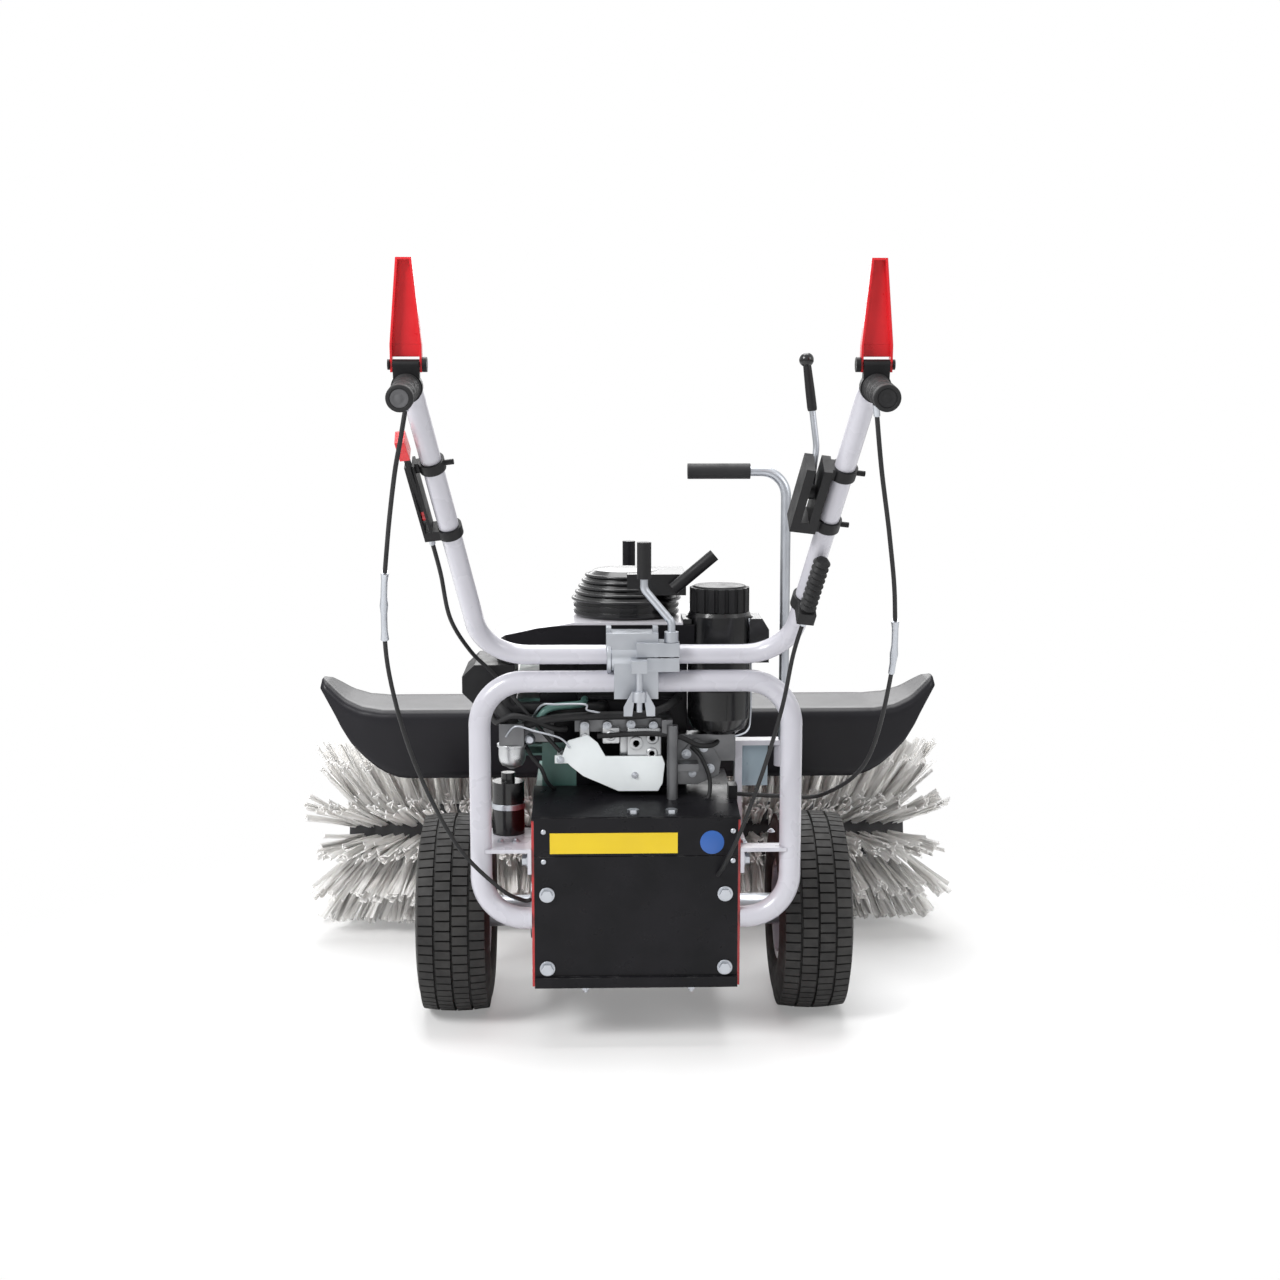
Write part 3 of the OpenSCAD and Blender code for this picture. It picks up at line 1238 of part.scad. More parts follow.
// Points of one bristle strip as place along X, place across and radius: the backing, then eight points a
// tuft
function strip_pts(k) = concat(
  [for (r = [core_r - back_t, core_r], e = [[core_start, -1], [core_half, -1], [core_half, 1],
    [core_start, 1]])
    [e[0], e[1] * strip_half, r]],
  [for (i = [0 : tufts - 1], e = [0, 1], c = [[-1, -1], [1, -1], [1, 1], [-1, 1]])
    let (x = tuft_x(k, i))
    e == 0 ? [x + c[0] * tuft_root_w / 2, c[1] * strip_half, core_r]
      : [x + lean(x) + c[0] * tuft_tip_w / 2, c[1] * strip_tip_half, tip_r(x)]]);
function placed(q, k, s) =
  let (a = 360 / core_sides * (k + 0.5))
  [s * q[0], brush_y + q[1] * sin(a) + q[2] * cos(a), brush_z - q[1] * cos(a) + q[2] * sin(a)];
strip_len = 8 + 8 * tufts;
// Faces of one strip, seen clockwise from outside
function strip_faces() = let (n = tufts - 1) concat(
  [[0, 1, 2, 3], [3, 7, 4, 0], [1, 5, 6, 2],
    concat([0, 4], [for (i = [0 : n]) each [8 + 8 * i, 9 + 8 * i]], [5, 1]),
    concat([2, 6], [for (i = [n : -1 : 0]) each [10 + 8 * i, 11 + 8 * i]], [7, 3]),
    [4, 7, 11, 8], [9 + 8 * n, 10 + 8 * n, 6, 5]],
  [for (i = [0 : n - 1]) [9 + 8 * i, 10 + 8 * i, 19 + 8 * i, 16 + 8 * i]],
  [for (i = [0 : n], f = [[12, 15, 14, 13], [8, 12, 13, 9], [10, 14, 15, 11], [11, 15, 12, 8],
    [9, 13, 14, 10]])
    [for (v = f) v + 8 * i]]);
function turned(f, s) = s > 0 ? f : back_to_front(f);
module bristles(s) polyhedron(
  [for (k = [0 : core_sides - 1], q = strip_pts(k)) placed(q, k, s)],
  [for (k = [0 : core_sides - 1], f = strip_faces()) turned([for (v = f) v + k * strip_len], s)],
    convexity = 10);
module bristles_left() color(cream) at_axle() bristles(-1);
module bristles_right() color(cream) at_axle() bristles(1);

// Height adjustment

collar_d = 26;
collar_h = 8;
spindle_low = 300;
height_rod_d = 12;
height_grip_d = 23;
height_grip_len = 58;
height_hub_d = 24;
height_arm_t = 10;
height_arm_w = 18;
module height_crank() color(black) at_axle() {
  translate([0, leg_y, spindle_low]) cylinder(h = height_arm_z - spindle_low, d = spindle_d);
  translate([0, leg_y, sleeve_top + run]) cylinder(h = collar_h, d = collar_d);
  translate([0, leg_y, height_arm_z - height_arm_t]) cylinder(h = height_arm_t, d = height_hub_d);
  box([-height_arm_w / 2, leg_y, height_arm_z - height_arm_t],
    [height_arm_w / 2, leg_y + height_throw, height_arm_z]);
  translate([0, leg_y + height_throw, height_arm_z - height_arm_t])
    cylinder(h = height_arm_t + height_grip_len, d = height_grip_d);
}

leg_top = 440;
leg_bore_low = 280;
crown_z = 122;
crown_t = 8;
fork_half = 22;
fork_t = 5;
fork_w = 26;
support_w = 36;
support_pin_d = 12;
support_z = support_d / 2;
module support_leg() color(zinc) at_axle() difference() {
  union() {
    translate([0, leg_y, crown_z]) cylinder(h = leg_top - crown_z, d = leg_d);
    box([-fork_half - fork_t, leg_y - fork_w / 2, crown_z],
      [fork_half + fork_t, leg_y + fork_w / 2, crown_z + crown_t]);
    for (s = [-1, 1]) box([s > 0 ? fork_half : -fork_half - fork_t, leg_y - fork_w / 2,
      support_z - fork_w / 2],
      [s > 0 ? fork_half + fork_t : -fork_half, leg_y + fork_w / 2, crown_z + over]);
    bar_x(-fork_half - fork_t - over, fork_half + fork_t + over, leg_y, support_z, support_pin_d);
  }
  translate([0, leg_y, leg_bore_low]) cylinder(h = leg_top, d = spindle_d + 2 * slip);
}
support_shares = [[0, -1], [0.9, -1], [0.97, -0.7], [1, -0.4], [1, 0.4], [0.97, 0.7], [0.9, 1], [0, 1]];
module support_wheel() color(black) at_axle() difference() {
  turned_x(0, leg_y, support_z) polygon([for (s = support_shares) [s[0] * support_d / 2,
    s[1] * support_w / 2]]);
  bar_x(-support_w, support_w, leg_y, support_z, support_pin_d + 2 * slip);
}

chassis_tub();
rear_cover();
engine_deck();
hex_bolts();
marker_strip();
frame_loop();
loop_bracket_left();
loop_bracket_right();
axle_housing();
tyre_left();
tyre_right();
rim_left();
rim_right();
half_shaft_left();
half_shaft_right();
crankcase();
blower_housing();
engine_cowl();
recoil_cover();
starter_grip();
fuel_tank();
fuel_cap();
air_filter();
carburettor();
heat_shield();
control_block();
side_canister();
clamp_base();
clamp_cap();
clamp_lever();
clamp_grip();
wing_nut();
handlebar();
grip_left();
grip_right();
lever_bracket_left();
lever_bracket_right();
drive_lever();
brush_lever();
throttle_housing();
throttle_lever();
shift_bracket();
shift_lever();
shift_boot();
throttle_cable();
shift_cable();
drive_cable();
brush_cable();
swivel_rod();
swivel_grip();
swivel_bracket();
head_arm();
brush_guard();
brush_core();
bristles_left();
bristles_right();
height_crank();
support_leg();
support_wheel();
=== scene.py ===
"""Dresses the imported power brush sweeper: finishes, bristles, tyres, guard, cables and engine detail."""
import json
import logging
import math
import random
from dataclasses import dataclass, field
from enum import Enum
from typing import Callable, Sequence

import bmesh
import bpy
from mathutils import Matrix, Vector


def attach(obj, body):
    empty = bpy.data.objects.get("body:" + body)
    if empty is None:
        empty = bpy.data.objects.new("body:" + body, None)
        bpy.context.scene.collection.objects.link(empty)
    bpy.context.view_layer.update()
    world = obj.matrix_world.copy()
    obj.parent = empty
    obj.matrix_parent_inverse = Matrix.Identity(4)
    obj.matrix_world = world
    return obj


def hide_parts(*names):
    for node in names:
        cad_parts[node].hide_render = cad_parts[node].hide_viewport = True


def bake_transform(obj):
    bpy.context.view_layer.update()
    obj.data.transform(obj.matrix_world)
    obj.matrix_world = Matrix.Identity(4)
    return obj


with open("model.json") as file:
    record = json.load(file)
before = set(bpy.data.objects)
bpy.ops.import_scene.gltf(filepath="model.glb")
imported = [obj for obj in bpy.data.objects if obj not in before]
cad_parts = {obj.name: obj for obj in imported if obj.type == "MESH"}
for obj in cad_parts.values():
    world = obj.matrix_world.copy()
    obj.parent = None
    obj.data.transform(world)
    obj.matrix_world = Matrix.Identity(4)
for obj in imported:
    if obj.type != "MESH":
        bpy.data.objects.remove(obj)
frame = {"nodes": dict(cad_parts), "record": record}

LOG = logging.getLogger("sweeper")
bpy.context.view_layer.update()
AXLE_Y = -0.0237168
CREASE = math.radians(38)
WELD = 1e-6
TINY = 1e-4
SIDES = ((-1, "left"), (1, "right"))
RIGHT, UP = Vector((1, 0, 0)), Vector((0, 0, 1))
FORE, BACK = Vector((0, 1, 0)), Vector((0, -1, 0))
BOX_FACES = [(0, 1, 3, 2), (4, 6, 7, 5), (0, 4, 5, 1), (2, 3, 7, 6), (0, 2, 6, 4), (1, 5, 7, 3)]

Point = tuple[float, float, float]
Colour = tuple[float, float, float]
Pair = tuple[float, float]
Face = tuple[int, ...]
Piece = bpy.types.Object
Socket = bpy.types.NodeSocket
Values = dict[str | int, object]


def placed(x: float, y: float, z: float) -> Vector:
    """Point given in millimetres from the wheel axle, in the shared frame in metres."""
    return Vector((x / 1000, y / 1000 + AXLE_Y, z / 1000))


# Node trees

@dataclass
class Graph:
    """Adds nodes to a tree, each with its inputs in one call."""

    tree: bpy.types.NodeTree

    def feed(self, node: bpy.types.Node, values: Values) -> None:
        """Fills a node's inputs.

        Args:
            node: the node.
            values: a value, or a socket to link from, by the input's name or number.
        """
        for key, value in values.items():
            if isinstance(value, Socket):
                self.tree.links.new(value, node.inputs[key])
            else:
                node.inputs[key].default_value = value

    def add(self, kind: str, values: Values | None = None, **fields: object) -> bpy.types.Node:
        """Adds one node.

        Args:
            kind: its type.
            values: what feeds its inputs.
            fields: its properties, set before the inputs.
        Returns:
            The node.
        """
        node = self.tree.nodes.new(kind)
        for label, value in fields.items():
            setattr(node, label, value)
        self.feed(node, values or {})
        return node

    def out(self, kind: str, values: Values | None = None, **fields: object) -> Socket:
        """First output in use of a node that is added here."""
        return next(socket for socket in self.add(kind, values, **fields).outputs if socket.enabled)

    def maths(self, operation: str, first: Socket, second: Socket | float) -> Socket:
        """Result of one operation on two values."""
        return self.out("ShaderNodeMath", {0: first, 1: second}, operation=operation)

    def noise(self, place: Socket, scale: float, octaves: float) -> Socket:
        """Noise at a place, its scale in features per metre."""
        return self.out("ShaderNodeTexNoise", {"Vector": place, "Scale": scale, "Detail": octaves})

    def mixed(self, share: Socket, first: object, second: object) -> Socket:
        """Colour between two colours."""
        return self.out("ShaderNodeMix", {"Factor": share, "A": first, "B": second}, data_type="RGBA")

    def span(self, value: Socket, taken: Pair, given: Pair, **fields: object) -> Socket:
        """Value mapped from one range to another."""
        limits = {"From Min": taken[0], "From Max": taken[1], "To Min": given[0], "To Max": given[1]}
        return self.out("ShaderNodeMapRange", {**limits, "Value": value}, **fields)


# Finishes

class Surface(Enum):
    """Kinds of fine surface that a finish can have."""

    PAINT = "paint"
    MOULDED = "moulded"
    CAST = "cast"
    PLATED = "plated"
    RUBBER = "rubber"
    STRAND = "strand"


UNIT = (0.0, 1.0)
CLOUD_OCTAVES, CLOUD_RANGE = 5.0, (0.36, 0.66)
GLOSS_OCTAVES, GLOSS_RANGE, GLOSS_FINER = 3.0, (0.3, 0.7), 3.1
RUB_OCTAVES, RUB_RANGE, RUB_SCALE, RUB_MOST = 4.0, (0.5, 0.66), 55.0, 0.8
CAST_OCTAVES, FINE_OCTAVES = 6.0, 2.0
EDGE_RANGE, EDGE_SAMPLES = (0.985, 0.86), 4
BUMP_HEIGHT, COAT_ROUGH, GLOW_DEPTH = 0.0006, 0.08, 0.006


@dataclass(frozen=True)
class Finish:
    """One finish: its colours, gloss and fine surface."""

    name: str
    colour: Colour
    second: Colour
    surface: Surface
    rough: float
    spread: float = 0.08
    metallic: float = 0.0
    coat: float = 0.0
    mottle: float = 14.0
    grain: float = 700.0
    bump: float = 0.12
    edge: float = 0.0012
    wear: Colour | None = None
    sheen: float = 0.5
    through: float = 0.0

    def material(self) -> bpy.types.Material:
        """Node material of this finish, made once.

        Returns:
            The material.
        """
        found = bpy.data.materials.get(self.name)
        if found:
            return found
        made = bpy.data.materials.new(self.name)
        made.use_nodes = True
        graph = Graph(made.node_tree)
        place = graph.add("ShaderNodeTexCoord").outputs["Object"]
        cloud = graph.span(graph.noise(place, self.mottle, CLOUD_OCTAVES), CLOUD_RANGE, UNIT)
        base = graph.mixed(cloud, (*self.colour, 1.0), (*self.second, 1.0))
        normal = None
        if self.edge > 0:
            normal = graph.out("ShaderNodeBevel", {"Radius": self.edge}, samples=EDGE_SAMPLES)
            if self.wear is not None:
                base = self._worn(graph, normal, place, base)
        gloss = graph.noise(place, self.mottle * GLOSS_FINER, GLOSS_OCTAVES)
        graph.feed(made.node_tree.nodes["Principled BSDF"], {
            "Base Color": base, "Metallic": self.metallic, "Specular IOR Level": self.sheen,
            "Roughness": graph.span(gloss, GLOSS_RANGE, (self.rough - self.spread, self.rough + self.spread)),
            "Coat Weight": self.coat, "Coat Roughness": COAT_ROUGH, "Subsurface Weight": self.through,
            "Subsurface Radius": (1.0, 1.0, 1.0), "Subsurface Scale": GLOW_DEPTH,
            "Normal": self._bumped(graph, place, normal),
        })
        return made

    def _worn(self, graph: Graph, normal: Socket, place: Socket, base: Socket) -> Socket:
        """Rubs the finish through along its edges.

        Args:
            graph: the material's tree.
            normal: the softened normal.
            place: object coordinates.
            base: colour under the wear.
        Returns:
            The colour with worn edges.
        """
        true = graph.add("ShaderNodeNewGeometry").outputs["True Normal"]
        dot = graph.out("ShaderNodeVectorMath", {0: normal, 1: true}, operation="DOT_PRODUCT")
        edge = graph.span(dot, EDGE_RANGE, UNIT)
        patch = graph.span(graph.noise(place, RUB_SCALE, RUB_OCTAVES), RUB_RANGE, (0.0, RUB_MOST))
        return graph.mixed(graph.maths("MULTIPLY", edge, patch), base, (*self.wear, 1.0))

    def _bumped(self, graph: Graph, place: Socket, normal: Socket | None) -> Socket:
        """Fine relief of the surface kind.

        Args:
            graph: the material's tree.
            place: object coordinates.
            normal: softened normal to start from, or None.
        Returns:
            The normal socket.
        """
        if self.surface in (Surface.MOULDED, Surface.RUBBER):
            height = graph.out("ShaderNodeTexVoronoi", {"Vector": place, "Scale": self.grain})
        else:
            octaves = CAST_OCTAVES if self.surface is Surface.CAST else FINE_OCTAVES
            height = graph.noise(place, self.grain, octaves)
        values = {"Strength": self.bump, "Distance": BUMP_HEIGHT, "Height": height}
        if normal is not None:
            values["Normal"] = normal
        return graph.out("ShaderNodeBump", values)


STEEL = (0.5, 0.5, 0.5)
DULL_STEEL = (0.12, 0.12, 0.12)
RED_PAINT = Finish("red_tub_paint", (0.5, 0.011, 0.013), (0.46, 0.01, 0.012), Surface.PAINT, 0.3, 0.03, coat=0.3,
                   wear=STEEL)
BLACK_PAINT = Finish("black_sheet_paint", (0.006, 0.006, 0.0072), (0.0095, 0.009, 0.011), Surface.PAINT, 0.33,
                     grain=1500, wear=DULL_STEEL, sheen=0.14)
GREY_PAINT = Finish("grey_tube_paint", (0.53, 0.525, 0.575), (0.5, 0.495, 0.545), Surface.PAINT, 0.28, 0.025,
                    coat=0.3, mottle=6, grain=1300, bump=0.06)
ZINC = Finish("zinc_plate", (0.47, 0.49, 0.525), (0.41, 0.43, 0.465), Surface.PLATED, 0.36, 0.04, metallic=1.0,
              mottle=16, bump=0.015)
CAST_ALLOY = Finish("cast_alloy", (0.18, 0.182, 0.188), (0.115, 0.117, 0.122), Surface.CAST, 0.42, 0.1, metallic=0.9,
                    grain=900, bump=0.3)
BRIGHT_ALLOY = Finish("bright_alloy", (0.5, 0.51, 0.52), (0.38, 0.39, 0.4), Surface.CAST, 0.34, 0.1, metallic=0.9,
                      grain=900, bump=0.25)
TEAL_PAINT = Finish("teal_block_paint", (0.12, 0.24, 0.212), (0.07, 0.165, 0.145), Surface.CAST, 0.45, coat=0.1,
                    bump=0.25)
WHITE_PAINT = Finish("white_shield_paint", (0.8, 0.84, 0.85), (0.74, 0.78, 0.79), Surface.PAINT, 0.4, wear=STEEL)
BLACK_PLASTIC = Finish("black_moulding", (0.007, 0.007, 0.0078), (0.012, 0.012, 0.013), Surface.MOULDED, 0.44,
                       grain=1400, sheen=0.22)
GUARD_PLASTIC = Finish("guard_moulding", (0.0075, 0.0072, 0.0095), (0.011, 0.0105, 0.0135), Surface.MOULDED, 0.34,
                       0.02, mottle=6, grain=1100, bump=0.06, sheen=0.22)
BLACK_GLOSS = Finish("black_gloss_moulding", (0.004, 0.004, 0.0046), (0.007, 0.007, 0.0078), Surface.PAINT, 0.25,
                     0.03, coat=0.2, bump=0.02, sheen=0.4)
COWL_GREY = Finish("cowl_gloss", (0.66, 0.65, 0.69), (0.6, 0.59, 0.63), Surface.PAINT, 0.24, 0.05, coat=0.5,
                   bump=0.03)
RED_PLASTIC = Finish("red_lever_moulding", (0.72, 0.016, 0.024), (0.63, 0.011, 0.018), Surface.MOULDED, 0.33,
                     coat=0.2, grain=1800, bump=0.05)
RUBBER = Finish("grip_rubber", (0.009, 0.009, 0.0098), (0.016, 0.016, 0.017), Surface.RUBBER, 0.58, grain=900,
                bump=0.2, sheen=0.32)
TYRE = Finish("tyre_rubber", (0.012, 0.0115, 0.0115), (0.026, 0.025, 0.024), Surface.RUBBER, 0.66, 0.1, mottle=22,
              grain=600, bump=0.25, edge=0.0, sheen=0.35)
BRISTLE = Finish("bristle_strands", (0.96, 0.95, 0.93), (0.9, 0.88, 0.85), Surface.STRAND, 0.42, mottle=38, edge=0.0,
                 bump=0.05, through=0.7)
YELLOW = Finish("yellow_film", (0.7, 0.5, 0.004), (0.66, 0.465, 0.003), Surface.PAINT, 0.35, edge=0.0, bump=0.03)
CORE = Finish("core_moulding", (0.02, 0.02, 0.023), (0.035, 0.035, 0.038), Surface.MOULDED, 0.5)
CAP_GREY = Finish("cap_moulding", (0.09, 0.09, 0.095), (0.065, 0.065, 0.07), Surface.MOULDED, 0.5)
SHEET_BLUE = Finish("blue_grey_sheet", (0.3, 0.38, 0.43), (0.26, 0.33, 0.38), Surface.PAINT, 0.35)
BLUE_FILM = Finish("blue_film", (0.02, 0.1, 0.38), (0.018, 0.09, 0.33), Surface.PAINT, 0.35, edge=0.0, bump=0.03)

SLOT_FINISHES: dict[str, Finish] = {
    "red_paint": RED_PAINT, "black_paint": BLACK_PAINT, "grey_paint": GREY_PAINT, "zinc": ZINC, "cast": CAST_ALLOY,
    "teal_paint": TEAL_PAINT, "white_paint": WHITE_PAINT, "black_plastic": BLACK_PLASTIC, "black_gloss": BLACK_GLOSS,
    "cowl_grey": COWL_GREY, "red_plastic": RED_PLASTIC, "rubber": RUBBER, "tyre": TYRE, "bristle": BRISTLE,
    "yellow": YELLOW, "core": CORE,
}


# Meshes

def linked(name: str, data: bpy.types.ID) -> Piece:
    """Object in the scene from a mesh, camera or lamp.

    Args:
        name: object name.
        data: what it shows.
    Returns:
        The object.
    """
    made = bpy.data.objects.new(name, data)
    bpy.context.scene.collection.objects.link(made)
    return made


def shaded(mesh: bpy.types.Mesh) -> None:
    """Shades a mesh smooth, apart from its creases."""
    mesh.shade_smooth()
    mesh.set_sharp_from_angle(angle=CREASE)


def new_piece(name: str, points: Sequence[Vector], faces: Sequence[Face], finish: Finish) -> Piece:
    """Mesh object at the origin with its normals turned outwards.

    Args:
        name: object name.
        points: places in the shared frame.
        faces: corner indices.
        finish: its finish.
    Returns:
        The object.
    """
    mesh = bpy.data.meshes.new(name)
    mesh.from_pydata([tuple(p) for p in points], [], faces)
    tool = bmesh.new()
    tool.from_mesh(mesh)
    bmesh.ops.remove_doubles(tool, verts=tool.verts, dist=WELD)
    bmesh.ops.recalc_face_normals(tool, faces=tool.faces)
    tool.to_mesh(mesh)
    tool.free()
    mesh.materials.append(finish.material())
    shaded(mesh)
    return linked(name, mesh)


def settle(piece: Piece, body: str, slot: str, *nodes: str) -> None:
    """Rides a piece on a body and hides the nodes it stands for.

    Args:
        piece: the object.
        body: CAD body.
        slot: record slot; not used.
        nodes: CAD nodes replaced.
    """
    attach(piece, body)
    if nodes:
        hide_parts(*nodes)
    LOG.info("piece %s on %s, %d faces", piece.name, body, len(piece.data.polygons))


def flow(points: Sequence[Vector], steps: int) -> list[Vector]:
    """Smooth curve through points.

    Args:
        points: control points.
        steps: points per span.
    Returns:
        The curve's points.
    """
    last = len(points) - 1
    out: list[Vector] = []
    for i in range(last):
        a, b, c, d = points[max(i - 1, 0)], points[i], points[i + 1], points[min(i + 2, last)]
        bend, twist = 2 * a - 5 * b + 4 * c - d, 3 * b - a - 3 * c + d
        for k in range(steps):
            t = k / steps
            out.append((2 * b + (c - a) * t + bend * t * t + twist * t ** 3) / 2)
    out.append(points[last].copy())
    return out


def ring(middle: Vector, normal: Vector, side: Vector, radius: float, sides: int) -> list[Vector]:
    """Points round a middle, the radius in millimetres."""
    turns = [math.tau * k / sides for k in range(sides)]
    return [middle + (normal * math.cos(turn) + side * math.sin(turn)) * (radius / 1000) for turn in turns]


def between(rings: int, sides: int) -> list[Face]:
    """Faces between neighbouring rings of points."""
    pairs = [(i * sides + k, i * sides + (k + 1) % sides) for i in range(rings - 1) for k in range(sides)]
    return [(a, b, b + sides, a + sides) for a, b in pairs]


def ends(rings: int, sides: int) -> list[Face]:
    """Faces that close the first and the last ring."""
    return [tuple(reversed(range(sides))), tuple(range((rings - 1) * sides, rings * sides))]


def tube(name: str, path: Sequence[Vector], radii: Sequence[float], sides: int, finish: Finish) -> Piece:
    """Round piece along a path.

    Args:
        name: object name.
        path: points along the middle.
        radii: radius at each point in millimetres, used over and over.
        sides: corners around.
        finish: its finish.
    Returns:
        The piece.
    """
    points: list[Vector] = []
    normal = None
    for i, middle in enumerate(path):
        ahead = (path[min(i + 1, len(path) - 1)] - path[max(i - 1, 0)]).normalized()
        if normal is None:
            normal = ahead.orthogonal().normalized()
        normal = (normal - ahead * normal.dot(ahead)).normalized()
        points += ring(middle, normal, ahead.cross(normal), radii[i % len(radii)], sides)
    return new_piece(name, points, between(len(path), sides) + ends(len(path), sides), finish)


def turned(name: str, profile: Sequence[Pair], at: Vector, axis: Vector, sides: int, finish: Finish) -> Piece:
    """Turned piece, with flat ends unless its profile comes back to its start.

    Args:
        name: object name.
        profile: radius and place along the axis, in millimetres.
        at: where the axis starts.
        axis: its direction.
        sides: corners around.
        finish: its finish.
    Returns:
        The piece.
    """
    ahead = axis.normalized()
    normal = ahead.orthogonal().normalized()
    side = ahead.cross(normal)
    points: list[Vector] = []
    for radius, along in profile:
        points += ring(at + ahead * (along / 1000), normal, side, radius, sides)
    faces = between(len(profile), sides)
    first, last = profile[0], profile[-1]
    if math.dist(first, last) > TINY:
        faces += [end for end, (radius, _) in zip(ends(len(profile), sides), (first, last)) if radius > TINY]
    return new_piece(name, points, faces, finish)


def joined(first: Piece, *others: Piece) -> Piece:
    """One object from several, named as the first.

    Args:
        first: object at the origin.
        others: more of them, used up here.
    Returns:
        The first object, holding all.
    """
    slots = first.data.materials
    tool = bmesh.new()
    for piece in (first, *others):
        for material in piece.data.materials:
            if material.name not in slots:
                slots.append(material)
        shift = [slots.find(material.name) for material in piece.data.materials]
        known = len(tool.faces)
        tool.from_mesh(piece.data)
        tool.faces.ensure_lookup_table()
        for face in tool.faces[known:]:
            face.material_index = shift[face.material_index]
    tool.to_mesh(first.data)
    tool.free()
    for piece in others:
        bpy.data.objects.remove(piece)
    return first


def box(name: str, origin: Vector, axes: Sequence[Vector], spans: Sequence[Pair], finish: Finish) -> Piece:
    """Box along three given axes, its spans along them counted from the origin in metres."""
    points = [origin + axes[0] * a + axes[1] * b + axes[2] * c for a in spans[0] for b in spans[1] for c in spans[2]]
    return new_piece(name, points, BOX_FACES, finish)


def slab(name: str, low: Point, high: Point, soft: float = 1.0, finish: Finish = BLACK_PAINT) -> Piece:
    """Upright box with softened edges.

    Args:
        name: object name.
        low: lower corner, in millimetres from the axle.
        high: upper corner, likewise.
        soft: edge radius in millimetres.
        finish: its finish.
    Returns:
        The piece.
    """
    made = box(name, Vector(), (RIGHT, FORE, UP), list(zip(placed(*low), placed(*high))), finish)
    tool = bmesh.new()
    tool.from_mesh(made.data)
    bmesh.ops.bevel(tool, geom=list(tool.edges), offset=soft / 1000, segments=2, affect="EDGES", profile=0.5)
    tool.to_mesh(made.data)
    tool.free()
    shaded(made.data)
    return made


# Repeated shapes

Given = dict[str, Socket]
Stamp = Callable[[Graph, Given], Socket]


@dataclass
class Repeat:
    """Places many copies of one small shape with Geometry Nodes."""

    name: str
    finish: Finish
    spots: list[Vector] = field(default_factory=list)
    turns: list[Vector] = field(default_factory=list)
    sizes: list[Vector] = field(default_factory=list)

    def add(self, spot: Vector, up: Vector, ahead: Vector, size: Vector) -> None:
        """Adds one copy.

        Args:
            spot: its place.
            up: direction of the shape's Z.
            ahead: direction near the shape's X.
            size: its scale.
        """
        z = up.normalized()
        x = (ahead - z * ahead.dot(z)).normalized()
        self.spots.append(spot)
        self.turns.append(Vector(Matrix((x, z.cross(x), z)).transposed().to_euler("XYZ")))
        self.sizes.append(size)

    def build(self, stamp: Stamp, inputs: dict[str, float]) -> Piece:
        """Runs the tree and keeps its result as a plain mesh.

        Args:
            stamp: adds the small shape's nodes to a tree and returns its geometry.
            inputs: values of the tree's named sizes.
        Returns:
            The object.
        """
        tree = bpy.data.node_groups.new(self.name + "_tree", "GeometryNodeTree")
        tree.interface.new_socket("Geometry", in_out="INPUT", socket_type="NodeSocketGeometry")
        names = {label: tree.interface.new_socket(label, in_out="INPUT", socket_type="NodeSocketFloat").identifier
                 for label in inputs}
        tree.interface.new_socket("Geometry", in_out="OUTPUT", socket_type="NodeSocketGeometry")
        graph = Graph(tree)
        given = graph.add("NodeGroupInput").outputs
        turn, size = (graph.out("GeometryNodeInputNamedAttribute", {"Name": label}, data_type="FLOAT_VECTOR")
                      for label in ("turn", "size"))
        spread = graph.out("GeometryNodeInstanceOnPoints", {
            "Points": given["Geometry"], "Instance": stamp(graph, {label: given[label] for label in inputs}),
            "Rotation": graph.out("FunctionNodeEulerToRotation", {0: turn}), "Scale": size})
        real = graph.out("GeometryNodeRealizeInstances", {"Geometry": spread})
        paint = graph.out("GeometryNodeSetMaterial", {"Geometry": real, "Material": self.finish.material()})
        graph.add("NodeGroupOutput", {"Geometry": paint})
        return self._grown(tree, {names[label]: value for label, value in inputs.items()})

    def _grown(self, tree: bpy.types.NodeTree, values: dict[str, float]) -> Piece:
        """Result of a tree on the spots, as a plain mesh.

        Args:
            tree: the tree.
            values: its sizes by identifier.
        Returns:
            The piece.
        """
        mesh = bpy.data.meshes.new(self.name + "_spots")
        mesh.from_pydata([tuple(s) for s in self.spots], [], [])
        for label, vectors in (("turn", self.turns), ("size", self.sizes)):
            attribute = mesh.attributes.new(label, "FLOAT_VECTOR", "POINT")
            attribute.data.foreach_set("vector", [c for v in vectors for c in v])
        holder = linked(self.name + "_spots", mesh)
        modifier = holder.modifiers.new("repeat", "NODES")
        modifier.node_group = tree
        for identifier, value in values.items():
            modifier[identifier] = value
        scene_graph = bpy.context.evaluated_depsgraph_get()
        result = bpy.data.meshes.new_from_object(holder.evaluated_get(scene_graph))
        holder.modifiers.remove(modifier)
        bpy.data.objects.remove(holder)
        result.name = self.name
        result.materials.clear()
        result.materials.append(self.finish.material())
        result.polygons.foreach_set("material_index", [0] * len(result.polygons))
        for label in ("turn", "size"):
            if label in result.attributes:
                result.attributes.remove(result.attributes[label])
        return linked(self.name, result)


